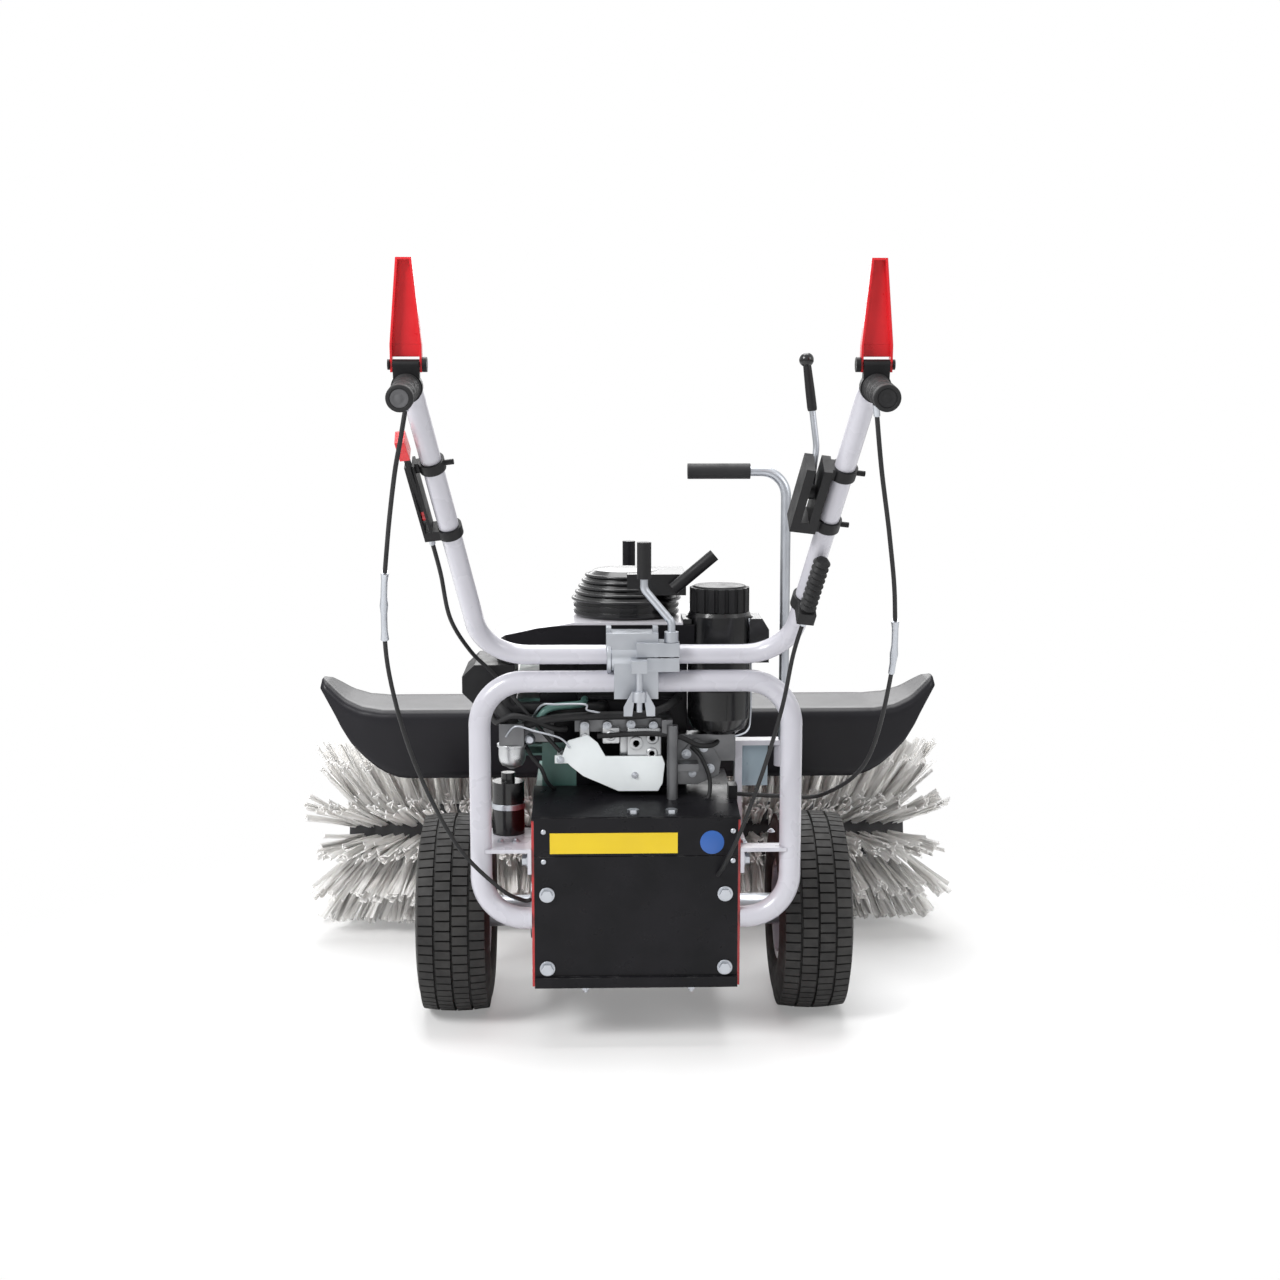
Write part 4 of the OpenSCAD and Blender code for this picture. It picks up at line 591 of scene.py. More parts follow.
def strand_stamp(graph: Graph, given: Given) -> Socket:
    """Bristle strand of unit length, bowed to one side.

    Args:
        graph: the tree to add to.
        given: its named sizes.
    Returns:
        Its geometry.
    """
    rod = graph.out("GeometryNodeMeshCylinder", {"Vertices": 4, "Side Segments": 3, "Radius": 1.0, "Depth": 1.0},
                    fill_type="NGON")
    lift = graph.out("GeometryNodeTransform", {"Geometry": rod, "Translation": (0.0, 0.0, 0.5)})
    along = graph.add("ShaderNodeSeparateXYZ", {0: graph.out("GeometryNodeInputPosition")}).outputs["Z"]
    bow = graph.maths("MULTIPLY", graph.maths("MULTIPLY", along, along), given["Bow"])
    shift = graph.out("ShaderNodeCombineXYZ", {"X": bow})
    return graph.out("GeometryNodeSetPosition", {"Geometry": lift, "Offset": shift})


def block_stamp(graph: Graph, given: Given) -> Socket:
    """Tread block of unit size standing on its base, narrower at its top.

    Args:
        graph: the tree to add to.
        given: its named sizes.
    Returns:
        Its geometry.
    """
    values = {"Vertices": 4, "Radius Bottom": math.sqrt(0.5), "Radius Top": given["Top"], "Depth": 1.0}
    cone = graph.out("GeometryNodeMeshCone", values, fill_type="NGON")
    return graph.out("GeometryNodeTransform", {"Geometry": cone, "Rotation": (0.0, 0.0, math.radians(45))})


def rivet_stamp(graph: Graph, given: Given) -> Socket:
    """Ball that a rivet's flat scale turns into a domed head."""
    return graph.out("GeometryNodeMeshUVSphere", {"Segments": 16, "Rings": 8, "Radius": given["Radius"]})


def bolt_stamp(graph: Graph, given: Given) -> Socket:
    """Hex head of unit size on a round collar, with the bolt's end in its middle.

    Args:
        graph: the tree to add to.
        given: its named sizes.
    Returns:
        Its geometry.
    """
    both = graph.add("GeometryNodeJoinGeometry")
    for corners, wide, tall, lift in ((6, 0.5, 0.5, 0.4), (20, 0.66, 0.16, 0.08), (12, 0.26, 0.8, 0.55)):
        radius = graph.maths("MULTIPLY", given["Width"], wide)
        rod = graph.out("GeometryNodeMeshCylinder", {"Vertices": corners, "Depth": tall, "Radius": radius})
        move = graph.out("GeometryNodeTransform", {"Geometry": rod, "Translation": (0.0, 0.0, lift)})
        graph.feed(both, {"Geometry": move})
    return both.outputs["Geometry"]


BOLT_SIZES = {"Width": 1.2}


# Sub-assemblies

@dataclass
class BrushHead:
    """Roller brush with its strands, and the guard over it. Sizes in metres."""

    axis_y: float = 0.480 + AXLE_Y
    axis_z: float = 0.179376
    tip_radius: float = 0.183
    root_radius: float = 0.056
    start: float = 0.032
    half: float = 0.534
    end_gap: float = 0.014
    floor_gap: float = 0.0075
    flare: float = 0.084
    flare_from: float = 0.45
    flare_power: float = 1.6
    least_flare: float = 0.8
    least_reach: float = 0.955
    tufts: int = 18
    rows: int = 12
    strands: int = 14
    seed: int = 41
    root_spread: Pair = (0.005, 0.006)
    tip_spread: Pair = (0.011, 0.016)
    tip_stray: Pair = (0.003, 0.005)
    strand: Pair = (0.0046, 0.0013)
    bow: float = 1.3
    guard_half: float = 0.560
    guard_z: float = 0.450
    guard_drop: float = 0.116
    guard_curl: float = 0.056
    guard_depth: float = 0.170
    guard_bend: float = 0.03
    guard_tip: float = 0.32
    guard_from: float = 0.74
    guard_y: float = 0.266 + AXLE_Y
    guard_wall: float = 0.004
    guard_roll: float = 0.012
    guard_lip: float = 0.002
    stations: int = 120
    rows_up: int = 8
    rows_roll: int = 5
    rows_fore: int = 10

    def lean(self, x: float) -> float:
        """Outward lean of a tuft's tips.

        Args:
            x: the tuft's place from the middle.
        Returns:
            The lean in metres.
        """
        share = (x - self.start) / (self.half - self.start)
        if share < self.flare_from:
            return 0.0
        return self.flare * ((share - self.flare_from) / (1 - self.flare_from)) ** self.flare_power

    def bristles(self, side: int, name: str) -> None:
        """Strands of one brush half, cut short above the floor.

        Args:
            side: -1 left, 1 right.
            name: the side's name.
        """
        rng = random.Random(self.seed + side)
        repeat = Repeat(f"bristle_strands_{name}", BRISTLE)
        pitch = (self.half - self.start - 2 * self.end_gap) / (self.tufts - 0.5)
        middle = Vector((0, self.axis_y, self.axis_z))
        (root_x, root_y), (tip_x, tip_y), (stray_x, stray_y) = self.root_spread, self.tip_spread, self.tip_stray
        for row in range(self.rows):
            angle = math.tau / self.rows * row
            out = Vector((0, math.cos(angle), math.sin(angle)))
            across = Vector((0, math.sin(angle), -math.cos(angle)))
            for i in range(self.tufts):
                x = self.start + self.end_gap + (i + (row % 2) / 2) * pitch
                lean = self.lean(x)
                reach = math.sqrt(self.tip_radius ** 2 - lean * lean / 2)
                for _ in range(self.strands):
                    u, v = rng.uniform(-1, 1), rng.uniform(-1, 1)
                    root = middle + RIGHT * (side * (x + u * root_x)) + across * (v * root_y) + out * self.root_radius
                    tip = middle + out * (reach * rng.uniform(self.least_reach, 1.0))
                    far = x + lean * rng.uniform(self.least_flare, 1.0) + u * tip_x + rng.gauss(0, stray_x)
                    tip += RIGHT * (side * far) + across * (v * tip_y + rng.gauss(0, stray_y))
                    span = tip - root
                    if tip.z < self.floor_gap:
                        span = span * ((root.z - self.floor_gap) / (root.z - tip.z))
                    turn = rng.uniform(0, math.tau)
                    ahead = across * math.cos(turn) + RIGHT * math.sin(turn)
                    repeat.add(root, span, ahead, Vector((*self.strand, span.length)))
        settle(repeat.build(strand_stamp, {"Bow": self.bow}), "brush", "bristle", f"bristles_{name}")

    def guard(self) -> None:
        """Curled guard with a rolled edge between its top and its rear panel."""
        points: list[Vector] = []
        for i in range(self.stations + 1):
            s = -1 + 2 * i / self.stations
            points += [Vector((s * self.guard_half, y, z)) for y, z in self._column(abs(s))]
        tall = len(points) // (self.stations + 1)
        corners = [i * tall + k for i in range(self.stations) for k in range(tall - 1)]
        made = new_piece("guard_shell", points, [(c, c + tall, c + tall + 1, c + 1) for c in corners], GUARD_PLASTIC)
        wall = made.modifiers.new("wall", "SOLIDIFY")
        wall.thickness = self.guard_wall
        wall.offset = -1.0
        settle(made, "brush_head", "black_plastic", "brush_guard")

    def _column(self, at: float) -> list[Pair]:
        """Line of the guard from its lower edge over the roll to its front.

        Args:
            at: share of the half width.
        Returns:
            Places in Y and Z.
        """
        curl = [(0, 0), (0.8, 0), (0.87, 0.1), (0.925, 0.34), (0.965, 0.68), (1, 1)]
        low = [(0, -1), (0.72, -1), (0.75, -0.98), (0.785, -0.92), (0.82, -0.82), (0.86, -0.66), (0.9, -0.46),
               (0.93, -0.24), (0.955, 0), (1, 0.8)]
        roll = self.guard_roll
        share = max(0.0, (at - self.guard_from) / (1 - self.guard_from))
        back = self.guard_y + self.guard_bend * share * share
        full = self.guard_tip + (1 - self.guard_tip) * math.sqrt(1 - share * share)
        front = self.guard_y + self.guard_depth * full
        top = self.guard_z + self.guard_wall + self.guard_curl * self._read(curl, at)
        drop = self._read(low, at)
        bottom = self.guard_z + (self.guard_drop if drop < 0 else self.guard_curl) * drop
        bottom = min(bottom, top - roll - self.guard_lip)
        column = [(back, bottom + (top - roll - bottom) * k / self.rows_up) for k in range(self.rows_up + 1)]
        for k in range(1, self.rows_roll + 1):
            turn = math.pi / 2 * k / self.rows_roll
            column.append((back + roll * (1 - math.cos(turn)), top - roll + roll * math.sin(turn)))
        long = front - back - roll
        return column + [(back + roll + long * k / self.rows_fore, top) for k in range(1, self.rows_fore + 1)]

    @staticmethod
    def _read(table: Sequence[Pair], at: float) -> float:
        """Reads a table along straight lines between its entries.

        Args:
            table: places and values.
            at: the place to read.
        Returns:
            The value there.
        """
        for (a, u), (b, v) in zip(table, table[1:]):
            if at <= b:
                return u + (v - u) * (at - a) / (b - a)
        return table[-1][1]

    def build(self) -> None:
        """Makes the strands of both halves and the guard."""
        for side, name in SIDES:
            self.bristles(side, name)
        self.guard()


@dataclass
class Wheels:
    """Drive tyres with their tread. Sizes in millimetres."""

    radius: float = 165
    width: float = 120
    track: float = 590
    bead: float = 76.05
    deep: float = 6.5
    sunk: float = 2
    pitches: int = 64
    columns: tuple[Pair, ...] = ((-40.5, 161.8), (-13.5, 164.4), (13.5, 164.4), (40.5, 161.8))
    block_wide: float = 26.2
    block_share: float = 0.9
    block_top: float = 0.64
    crown_tilt: float = 0.0032
    sides: int = 96

    def tyre(self, side: int, name: str) -> None:
        """Carcass and tread blocks of one tyre.

        Args:
            side: -1 left, 1 right.
            name: the side's name.
        """
        wall = [(0.8, 0), (0.8, 0.1), (0.9, 0.16), (0.965, 0.27), (0.99, 0.4), (1, 0.5), (0.99, 0.62), (0.965, 0.72),
                (0.93, 0.8), (0.88, 0.87), (0.8, 0.905), (0.72, 0.925), (0.4, 0.93), (0, 0.93)]
        half, rise = self.width / 2, self.radius - self.bead
        outline = [(-across, up) for across, up in wall] + wall[-2::-1]
        profile = [(self.bead + up * rise, across * half) for across, up in outline + outline[:1]]
        centre = placed(side * self.track / 2, 0, self.radius)
        carcass = turned(f"treaded_tyre_{name}", profile, centre, RIGHT, self.sides, TYRE)
        repeat = Repeat(f"treaded_tyre_{name}_tread", TYRE)
        tall = self.deep + self.sunk
        for n, (x, crown) in enumerate(self.columns):
            size = Vector((self.block_wide, math.tau * crown / self.pitches * self.block_share, tall)) / 1000
            for k in range(self.pitches):
                turn = math.tau * (k + (n % 2) / 2) / self.pitches
                out = Vector((0, math.cos(turn), math.sin(turn)))
                spot = centre + RIGHT * (x / 1000) + out * ((crown - tall) / 1000)
                repeat.add(spot, out + RIGHT * (x * self.crown_tilt), RIGHT, size)
        tread = repeat.build(block_stamp, {"Top": self.block_top})
        settle(joined(carcass, tread), f"wheel_{name}", "tyre", f"tyre_{name}")

    def build(self) -> None:
        """Makes both tyres."""
        for side, name in SIDES:
            self.tyre(side, name)


@dataclass
class Cable:
    """Control cable along its route, with its ferrule and adjuster. Sizes in millimetres."""

    label: str
    node: str
    route: list[Point]
    low: Vector
    high: Vector
    sleeve: Pair | None = None
    radius: float = 3.3
    ferrule: float = 4.6
    ferrule_points: int = 3
    ridges: tuple[float, ...] = (6.2, 4.8, 4.8, 4.8)
    steps: int = 8
    sides: int = 12

    def build(self) -> None:
        """Makes the cable along its route between handlebar and chassis."""
        path = flow([placed(*p) for p in self.route], self.steps)
        skin = tube(self.label, path, (self.radius,), self.sides, RUBBER)
        if self.sleeve:
            first, last = (int(share * (len(path) - 1)) for share in self.sleeve)
            skin = joined(skin, tube(self.label + "_adjuster", path[first:last + 1], self.ridges, self.sides, ZINC))
        tip = path[:self.ferrule_points]
        skin = joined(skin, tube(self.label + "_ferrule_a", tip, (self.ferrule,), self.sides, ZINC))
        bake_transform(skin)
        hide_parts(self.node)
        LOG.info("cable %s, %d faces", self.label, len(skin.data.polygons))


def cables() -> list[Cable]:
    """The four control cables on their routes.

    Returns:
        The cables.
    """
    drive = [(-314, -504, 1018), (-323, -502, 970), (-334, -486, 920), (-352, -422, 830), (-366, -362, 730),
             (-366, -312, 620), (-336, -270, 480), (-278, -238, 345), (-214, -216, 268), (-180, -182, 238),
             (-165.7, -182, 238)]
    brush = [(314, -504, 1018), (330, -462, 930), (352, -412, 830), (370, -362, 730), (376, -310, 620),
             (356, -226, 470), (302, -140, 396), (236, -118, 388), (164.5, -115, 391)]
    throttle = [(-301.4, -317.9, 824.8), (-293, -258, 765), (-284, -205, 690), (-258, -136, 628), (-222, -109, 585),
                (-160, -108, 508), (-119.2, -109, 460.4)]
    shift = [(250.3, -267.0, 694.3), (236, -256, 640), (222, -246, 560), (198, -240, 470), (165, -232, 370),
             (140, -224, 310), (128, -204, 282)]
    return [
        Cable("drive_lead", "drive_cable", drive, placed(-336, -270, 480), placed(-340, -440, 900), (0.36, 0.45)),
        Cable("brush_lead", "brush_cable", brush, placed(356, -226, 470), placed(340, -440, 900), (0.42, 0.5)),
        Cable("throttle_lead", "throttle_cable", throttle, placed(-240, -120, 600), placed(-300, -300, 810)),
        Cable("shift_lead", "shift_cable", shift, placed(165, -232, 370), placed(245, -262, 680)),
    ]


@dataclass
class Controls:
    """Grips, lever webs, throttle sheath and shift lever. Sizes in millimetres."""

    half: float = 312.0
    end_y: float = -604.677
    end_z: float = 1027.072
    drop: float = 8.0
    radius: float = 18
    long: float = 88
    ribs: int = 17
    ribs_from: float = 4
    ribs_short: float = 12
    rib_deep: float = 0.9
    rib_group: int = 6
    rib_shares: tuple[float, float, float] = (0.16, 0.42, 0.58)
    rod: float = 4.5
    knob: float = 10.5
    knob_at: float = 63.5
    knob_steps: int = 16

    def grip(self, side: int, name: str, cap: Finish) -> None:
        """Ribbed grip with a ringed end.

        Args:
            side: -1 left, 1 right.
            name: the side's name.
            cap: finish of the end disc.
        """
        start = placed(side * self.half, self.end_y, self.end_z)
        axis = Vector((0, math.cos(math.radians(self.drop)), math.sin(math.radians(self.drop))))
        profile = [(0, -2.8), (12.5, -2.8), (13.2, -4), (16.4, -4), (17.6, -3.2), (self.radius, -1.8)]
        pitch = (self.long - self.ribs_short) / self.ribs
        down, bottom, up = (pitch * share for share in self.rib_shares)
        for k in range(self.ribs):
            along = self.ribs_from + k * pitch
            low = self.radius - (self.rib_deep if k % self.rib_group else 0.0)
            profile += [(self.radius, along), (low, along + down), (low, along + bottom), (self.radius, along + up)]
        profile += [(self.radius, 83), (19.4, 84.2), (19.4, 87.2), (18.8, self.long), (15.06, self.long)]
        rings = [(0, -3.4), (4, -3.4), (4.6, -3), (7.8, -3), (8.4, -3.4), (11.8, -3.4), (12.2, -2.8), (0, -2.6)]
        body = turned(f"ribbed_grip_{name}", profile, start, axis, 48, RUBBER)
        disc = turned(f"ribbed_grip_{name}_disc", rings, start, axis, 40, cap)
        settle(joined(body, disc), "handlebar", "rubber", f"grip_{name}")

    def lever_web(self, side: int, lever: str) -> None:
        """Red web at the foot of a hand lever.

        Args:
            side: -1 left, 1 right.
            lever: the lever's body.
        """
        pivot = placed(side * self.half, -512.8, 1070.3)
        axes = RIGHT, Vector((0, -0.0696, 0.9973)), Vector((0, 0.9973, 0.0696))
        web = box(lever + "_web", pivot, axes, ((-0.0179, 0.0179), (0.0098, 0.0262), (0.0069, 0.0094)), RED_PLASTIC)
        settle(web, lever, "red_plastic")

    def throttle_sheath(self) -> None:
        """Black cover on the throttle lever's arm, below its red knob."""
        pin = placed(-307.777, -341.597, 859.232)
        across, along = Vector((0.98857, -0.08542, 0.12425)), Vector((-0.14996, -0.64312, 0.75094))
        spans = (-0.00285, 0.00285), (0.012, 0.1172), (-0.00735, 0.00735)
        sheath = box("throttle_sheath", pin, (across, along, across.cross(along)), spans, BLACK_PLASTIC)
        settle(sheath, "throttle_lever", "black_plastic")

    def shift_handle(self) -> None:
        """Shift lever with its plated rod, black sleeve and round knob."""
        across = Vector((0.98857, 0.08542, -0.12425))
        foot, bend = placed(245.17, -364.56, 892.63), placed(252.98, -362.56, 956.12)
        end = placed(245.23, -362.02, 1015.52)
        up, ahead = (bend - foot).normalized(), (end - bend).normalized()
        eye = [(5.2, -5.3), (10.4, -5.3), (11, -4.7), (11, 4.7), (10.4, 5.3), (5.2, 5.3), (5.2, -5.3)]
        path = flow([foot + up * 0.0095, foot + up * 0.034, bend - up * 0.008, bend + (ahead - up) * 0.002,
                     bend + ahead * 0.008, bend + ahead * 0.03, end - ahead * 0.006], 6)
        sleeve = [(0, -9), (5.5, -9), (6.6, -7.8), (7, -4), (6.8, 20), (6, 50), (5.6, 60), (0, 60)]
        turns = [math.pi * k / self.knob_steps for k in range(self.knob_steps + 1)]
        ball = [(max(0.0, self.knob * math.sin(t)), self.knob_at - self.knob * math.cos(t)) for t in turns]
        made = joined(turned("shift_handle", eye, foot, across, 40, BLACK_PLASTIC),
                      tube("shift_rod", path, (self.rod,), 20, ZINC),
                      turned("shift_sleeve", sleeve, end, ahead, 28, BLACK_PLASTIC),
                      turned("shift_knob", ball, end, ahead, 32, BLACK_GLOSS))
        settle(made, "shift_lever", "black_plastic", "shift_lever")

    def build(self) -> None:
        """Makes the shift lever, throttle sheath, lever webs and grips."""
        self.shift_handle()
        self.throttle_sheath()
        self.lever_web(-1, "drive_lever")
        self.lever_web(1, "brush_lever")
        self.grip(-1, "left", CAP_GREY)
        self.grip(1, "right", RUBBER)


# Name, slot, radius and route of the engine's bent lines
RUNS: list[tuple[str, str, float, list[Point]]] = [
    ("vent_hose", "rubber", 7, [
        (-178, -96, 500), (-150, -112, 512), (-103, -116, 519), (-32, -117, 521), (16, -116, 522), (52, -104, 532),
        (70, -70, 540)]),
    ("teal_pipe", "teal_paint", 6, [
        (-150, -60, 488), (-153, -96, 496), (-150, -106, 518), (-132, -104, 532), (-87, -98, 536), (-80, -62, 537)]),
    ("governor_wire", "zinc", 1.8, [
        (-170, -92, 500), (-150, -112, 536), (-123, -122, 540), (-79, -123, 540), (-76, -122, 531), (-52, -118, 524),
        (-44, -108, 513)]),
    ("choke_wire", "zinc", 1.8, [
        (-206, -112, 486), (-190, -118, 504), (-160, -121, 497), (-120, -122, 486), (-104, -121, 470)]),
    ("spark_lead", "rubber", 3.4, [
        (92, -93, 464), (108, -106, 448), (121, -114, 412), (112, -128, 378), (76, -136, 377), (40, -134, 377),
        (20, -120, 378)]),
    ("tank_wire", "zinc", 1.6, [
        (183.5, -92, 672), (187.5, -82, 640), (188, -84, 576), (187.5, -86, 510), (181, -96, 490), (161, -108, 484)]),
    ("intake_elbow", "rubber", 13, [(-226, -70, 546), (-214, -82, 528), (-204, -88, 512), (-197, -90, 500)]),
    ("side_lead", "rubber", 5, [
        (-236, -66, 530), (-222, -92, 506), (-196, -112, 520), (-164, -114, 514), (-130, -112, 500),
        (-110, -100, 496)]),
    ("tank_hose", "rubber", 4.2, [
        (138, -64, 486), (132, -92, 470), (104, -112, 470), (70, -118, 486), (20, -122, 492), (-60, -120, 488)]),
    ("lower_lead", "rubber", 3.2, [
        (-176, -94, 470), (-164, -112, 452), (-150, -118, 436), (-140, -108, 410), (-128, -80, 392),
        (-120, -62, 386)]),
]
# Name, slot, finish, foot, axis, sides and profile of turned pieces
TURNED: list[tuple[str, str, Finish, Point, Vector, int, list[Pair]]] = [
    ("clamp_sleeve", "zinc", ZINC, (-45, -184, 630), RIGHT, 56, [
        (15.6, 0), (29.2, 0), (30.2, 1), (30.2, 6), (29.2, 7), (27.2, 7.5), (27.2, 70.5), (29.2, 71), (30.2, 72),
        (30.2, 77), (29.2, 78), (15.6, 78), (15.6, 0)]),
    ("canister_strap", "zinc", ZINC, (-204, -92, 366), UP, 48, [
        (26.05, 0), (27.25, 0), (27.25, 9), (26.05, 9), (26.05, 0)]),
    ("tank_strap", "black_plastic", BLACK_PLASTIC, (138, -64, 556), UP, 48, [
        (51.05, 0), (52.25, 0), (52.25, 8), (51.05, 8), (51.05, 0)]),
    ("filter_knob", "zinc", ZINC, (-167, -122, 482), Vector((0, 1, 0.05)), 28, [
        (0, 0), (5, 0.5), (8.2, 4), (8.8, 9), (6, 14), (4.5, 20), (4.5, 30)]),
    ("float_bowl", "cast", BRIGHT_ALLOY, (-197, -90, 432), UP, 40, [
        (0, 0), (8, 0), (16.5, 4), (20.8, 11), (22.2, 20), (22.2, 34), (24.5, 34.5), (24.5, 38.5), (23.5, 39),
        (0, 39)]),
    ("round_film", "white_paint", BLUE_FILM, (119, -200, 334), BACK, 48, [
        (0, 0.6), (18.2, 0.6), (18.8, 0.4), (18.8, 0)]),
]


@dataclass
class ChassisDetail:
    """Hoses, wires, fasteners, turned pieces and small sheets on the chassis. Sizes in millimetres."""

    run_steps: int = 7
    run_sides: int = 14
    head_share: float = 0.7
    rivet: float = 4.2
    rivet_flat: float = 0.45
    bead_steps: int = 10

    def fasteners(self) -> None:
        """Hex heads on block, cluster, cowl skirt and brackets and under the tub, and the rear cover's rivets."""
        rear = ((-80, -113, 503, 9), (-44, -113, 503, 9), (-6, -113, 505, 9), (30, -113, 503, 9),
                (-119, -120, 450, 8), (0, -120, 424, 7), (84, -92, 452, 10), (112, -92, 462, 9), (122, -92, 428, 10),
                (94, -92, 420, 8))
        flat = ((170, -166, 324, 9), (222, -100, 324, 8), (-190, -150, 324, 9), (-214, -150, 324, 8),
                (-140, -150, 374, 8), (146, -160, 374, 8))
        bolts = Repeat("engine_bolts", ZINC)
        for heads, up, ahead in ((rear, BACK, UP), (flat, UP, BACK)):
            for x, y, z, size in heads:
                bolts.add(placed(x, y, z), up, ahead, Vector((size, size, size * self.head_share)) / 1000)
        for x in (-80, 88):
            bolts.add(placed(x, -186, 99.5), -UP, BACK, Vector((10, 10, 13)) / 1000)
        settle(bolts.build(bolt_stamp, BOLT_SIZES), "chassis", "zinc")
        rivets = Repeat("cover_rivets", ZINC)
        for x, z in ((-145, 352), (152, 352), (-145, 304), (152, 304)):
            rivets.add(placed(x, -200, z), BACK, UP, Vector((1, 1, self.rivet_flat)))
        settle(rivets.build(rivet_stamp, {"Radius": self.rivet / 1000}), "chassis", "zinc")

    def starter_rings(self) -> None:
        """Moulded ridges round the starter cover's slope."""
        turns = [math.tau * n / self.bead_steps for n in range(self.bead_steps + 1)]
        made: list[Piece] = []
        ridges = ((87.2, 695.5, 3), (81.2, 705.5, 3.2), (75.7, 715, 3.2), (70.2, 724.5, 3.2), (65, 733.5, 3))
        for radius, z, thick in ridges:
            bead = [(radius + thick * math.cos(t), thick * math.sin(t)) for t in turns]
            name = f"starter_ring_{len(made)}" if made else "starter_rings"
            made.append(turned(name, bead, placed(-11, 10, z), UP, 72, BLACK_GLOSS))
        settle(joined(*made), "chassis", "black_gloss")

    def cowl_panel(self) -> None:
        """Black rear panel under the cowl's pale top."""
        foot, wall, lean = 631.6, 0.0012, 0.0008
        rim = [(-226.6, -54.5, 633.8), (-216, -75.6, 639.5), (-206, -97, 648), (-180, -97, 653.2), (-156, -97, 658.6),
               (-128, -97, 662), (-98, -97, 663.4), (-40, -97, 663.4), (20, -97, 663.4), (96, -97, 663.4)]
        n = len(rim)
        outer = [placed(x, y, z) for x, y, z in rim] + [placed(x, y, foot) for x, y, _ in rim]
        inner = [q + Vector((lean if i % n < 2 else 0.0, wall, 0)) for i, q in enumerate(outer)]
        faces = [(i, i + 1, n + i + 1, n + i) for i in range(n - 1)]
        faces += [tuple(2 * n + c for c in reversed(f)) for f in faces]
        edge = list(range(n)) + list(range(2 * n - 1, n - 1, -1))
        faces += [(a, b, b + 2 * n, a + 2 * n) for a, b in zip(edge, edge[1:] + edge[:1])]
        settle(new_piece("cowl_panel", outer + inner, faces, BLACK_PAINT), "chassis", "black_paint")

    def cluster(self) -> None:
        """Cast control housings behind the heat shield."""
        blocks = [((-12, -116, 442), (43, -72, 500)), ((-52, -115, 474), (-24, -70, 501)),
                  ((-88, -114, 472), (-72, -70, 501)), ((-24, -110, 452), (-11, -70, 490))]
        made = [slab(f"cluster_block_{k}" if k else "control_cluster", low, high, 3, BRIGHT_ALLOY)
                for k, (low, high) in enumerate(blocks)]
        bosses = ((2.3, 475.3, 11), (28.2, 484, 10), (27.4, 459, 9), (-38, 488, 8), (-80, 486, 6))
        for k, (x, z, size) in enumerate(bosses):
            cup = [(0, 0), (size * 0.45, 0), (size * 0.5, 3.5), (size * 0.82, 4), (size, 3), (size, -4)]
            made.append(turned(f"cluster_boss_{k}", cup, placed(x, -116, z), BACK, 32, BRIGHT_ALLOY))
        settle(joined(*made), "chassis", "cast")

    def sheets(self) -> None:
        """Shrouds on the block, the deck's apron, the painted-shade sheet under the tub and the side sheet."""
        screws = Repeat("front_screws", ZINC)
        for x in (-120, -33, 54):
            for z in (416, 552):
                screws.add(placed(x, 130.4, z), FORE, UP, Vector((0.007, 0.007, 0.005)))
        front = [slab("front_shroud", (-128, 127.4, 408), (62, 130.5, 560))]
        front += [slab(f"front_rib_{k}", (-112, 129.6, z), (46, 133.2, z + 8), 1.5)
                  for k, z in enumerate(range(430, 538, 18))]
        rear = [slab("rear_shroud", (-94, -60.5, 378), (86.6, -57.5, 598))]
        rear += [slab(f"shroud_rib_{k}", (-90, -64, z), (78, -59, z + 4)) for k, z in enumerate(range(536, 591, 11))]
        line = [(-198.5, 374.6), (-190, 376.4), (-120, 388), (-72, 396.5), (-70, 396), (-71, 393.5), (-120, 385.5),
                (-190, 374.4)]
        points = [placed(x, y, z) for x in (-163, 163) for y, z in line]
        apron = new_piece("deck_apron", points, between(2, len(line)) + ends(2, len(line)), BLACK_PAINT)
        for sheet in (joined(*front, screws.build(bolt_stamp, BOLT_SIZES)), apron,
                      slab("side_shroud", (-153, -63, 466), (-93, -58.5, 598)),
                      # Painted shade: black sheet under the tub that keeps the tub's red bounce light off the floor
                      # shadow.
                      slab("underside_coat", (-160, -192, 99.3), (160, 146, 99.95), 0.2), joined(*rear)):
            settle(sheet, "chassis", "black_paint")
        settle(slab("side_sheet", (174, -61, 392), (219, -58.5, 464), 0.8, SHEET_BLUE), "chassis", "white_paint")

    def build(self) -> None:
        """Makes the details."""
        for name, slot, radius, route in RUNS:
            path = flow([placed(*p) for p in route], self.run_steps)
            settle(tube(name, path, (radius,), self.run_sides, SLOT_FINISHES[slot]), "chassis", slot)
        for name, slot, finish, foot, axis, sides, profile in TURNED:
            settle(turned(name, profile, placed(*foot), axis, sides, finish), "chassis", slot)
        self.fasteners()
        self.starter_rings()
        self.cowl_panel()
        self.cluster()
        self.sheets()


# Stage

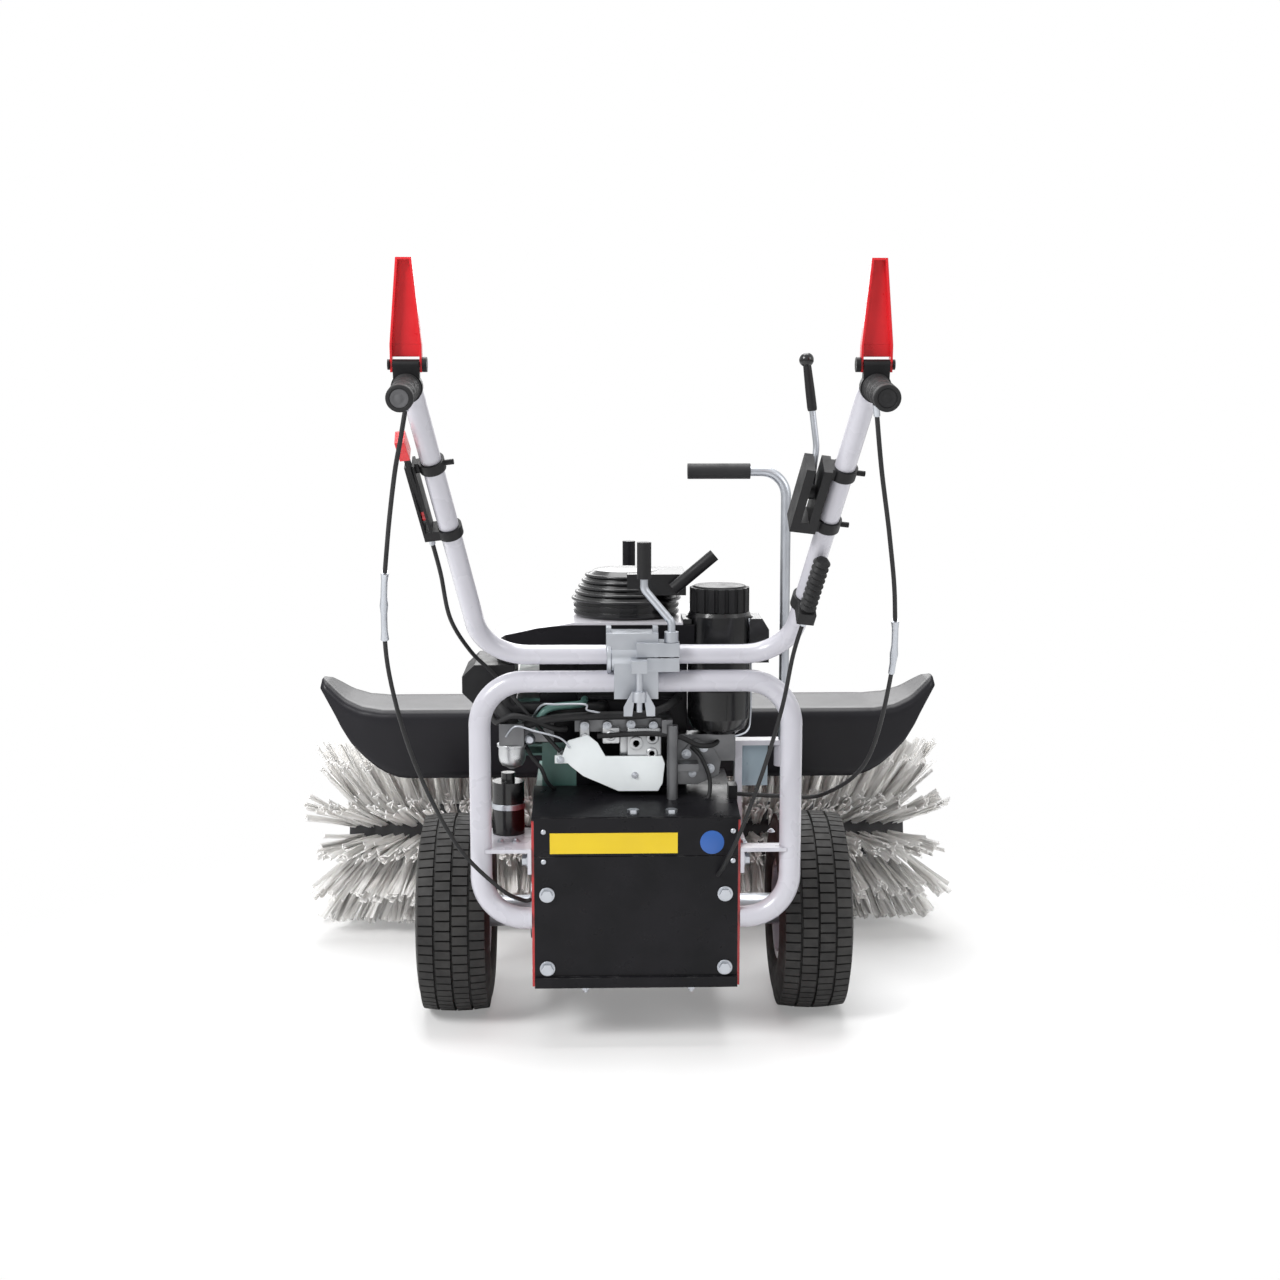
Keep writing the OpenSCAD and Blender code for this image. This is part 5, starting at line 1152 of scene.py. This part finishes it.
@dataclass
class Studio:
    """Floor, light and the camera at the photograph's angle."""

    camera_at: Vector = field(default_factory=lambda: placed(-70, -2870, 1050))
    pitch: float = 8.42
    yaw: float = 1.63
    lens: float = 49.4
    sensor: float = 36.0
    reach: float = 30.0
    fade_from: Pair = (0.55, 1.25)
    fade_to: Pair = (0.25, 1.0)
    soft_light: float = 0.24
    aim: Point = (0, 0, 0.5)

    def build(self) -> None:
        """Makes camera, floor and lamps."""
        lens = bpy.data.cameras.new("photo_camera")
        lens.sensor_width = self.sensor
        lens.lens = self.lens
        camera = linked("photo_camera", lens)
        camera.location = self.camera_at
        camera.rotation_euler = (math.radians(90 - self.pitch), 0, math.radians(-self.yaw))
        bpy.context.scene.camera = camera
        self.floor()
        self.lamp("key", (-2.6, -2.4, 3.0), 1.5, 150.0)
        self.lamp("fill", (2.9, -1.9, 2.2), 1.6, 30.0)
        self.lamp("top", (0.0, 0.5, 3.4), 2.2, 105.0)
        self.lamp("back", (0.0, 3.2, 2.4), 2.4, 60.0)
        self.world()
        bpy.context.scene.view_settings.view_transform = "Standard"

    def floor(self) -> None:
        """Large pale floor that keeps the object's shadow and fades into the white surround."""
        mesh = bpy.data.meshes.new("studio_floor")
        far = self.reach
        mesh.from_pydata([(-far, -far, 0), (far, -far, 0), (far, far, 0), (-far, far, 0)], [], [(0, 1, 2, 3)])
        floor = linked("studio_floor", mesh)
        paint = bpy.data.materials.new("floor_white")
        paint.use_nodes = True
        graph, nodes = Graph(paint.node_tree), paint.node_tree.nodes
        shader = nodes["Principled BSDF"]
        graph.feed(shader, {"Base Color": (0.92, 0.92, 0.92, 1.0), "Roughness": 0.75, "Specular IOR Level": 0.1})
        place = graph.add("ShaderNodeTexCoord").outputs["Object"]
        away = graph.out("ShaderNodeVectorMath", {0: place}, operation="LENGTH")
        fade = graph.span(away, self.fade_from, self.fade_to, interpolation_type="SMOOTHSTEP")
        seen = graph.add("ShaderNodeLightPath").outputs["Is Camera Ray"]
        clear = graph.out("ShaderNodeBsdfTransparent")
        share = graph.maths("MULTIPLY", fade, seen)
        mix = graph.out("ShaderNodeMixShader", {"Fac": share, 1: shader.outputs[0], 2: clear})
        graph.feed(nodes["Material Output"], {"Surface": mix})
        mesh.materials.append(paint)

    def lamp(self, label: str, at: Point, size: float, power: float) -> None:
        """Soft square lamp aimed at the machine's middle.

        Args:
            label: its name.
            at: its place.
            size: its width.
            power: watts.
        """
        light = bpy.data.lights.new(label, "AREA")
        light.size = size
        light.energy = power
        lamp = linked(label, light)
        lamp.location = at
        lamp.rotation_euler = (Vector(self.aim) - Vector(at)).to_track_quat("-Z", "Y").to_euler()

    def world(self) -> None:
        """White surround for the camera and in reflections, soft light for the rest."""
        world = bpy.data.worlds.new("studio")
        bpy.context.scene.world = world
        world.use_nodes = True
        graph, nodes = Graph(world.node_tree), world.node_tree.nodes
        white = (1, 1, 1, 1)
        shown = graph.out("ShaderNodeBackground", {"Color": white, "Strength": 1.0})
        soft = nodes["Background"]
        graph.feed(soft, {"Color": white, "Strength": self.soft_light})
        path = graph.add("ShaderNodeLightPath")
        seen = path.outputs["Is Camera Ray"]
        for label in ("Is Glossy Ray", "Is Transmission Ray"):
            seen = graph.maths("MAXIMUM", seen, path.outputs[label])
        choose = graph.out("ShaderNodeMixShader", {"Fac": seen, 1: soft.outputs[0], 2: shown})
        graph.feed(nodes["World Output"], {"Surface": choose})


def dress_nodes() -> None:
    """Gives every CAD node the finish of its slot."""
    for part in frame["record"]["subparts"]:
        data = frame["nodes"][part["node"]].data
        data.materials.clear()
        data.materials.append(SLOT_FINISHES[part["material_slot"]].material())


def main() -> None:
    """Builds the scene in order."""
    logging.basicConfig(level=logging.INFO, format="%(name)s: %(message)s")
    Studio().build()
    dress_nodes()
    for cable in cables():
        cable.build()
    BrushHead().build()
    Wheels().build()
    Controls().build()
    ChassisDetail().build()


if __name__ == "__main__":
    main()
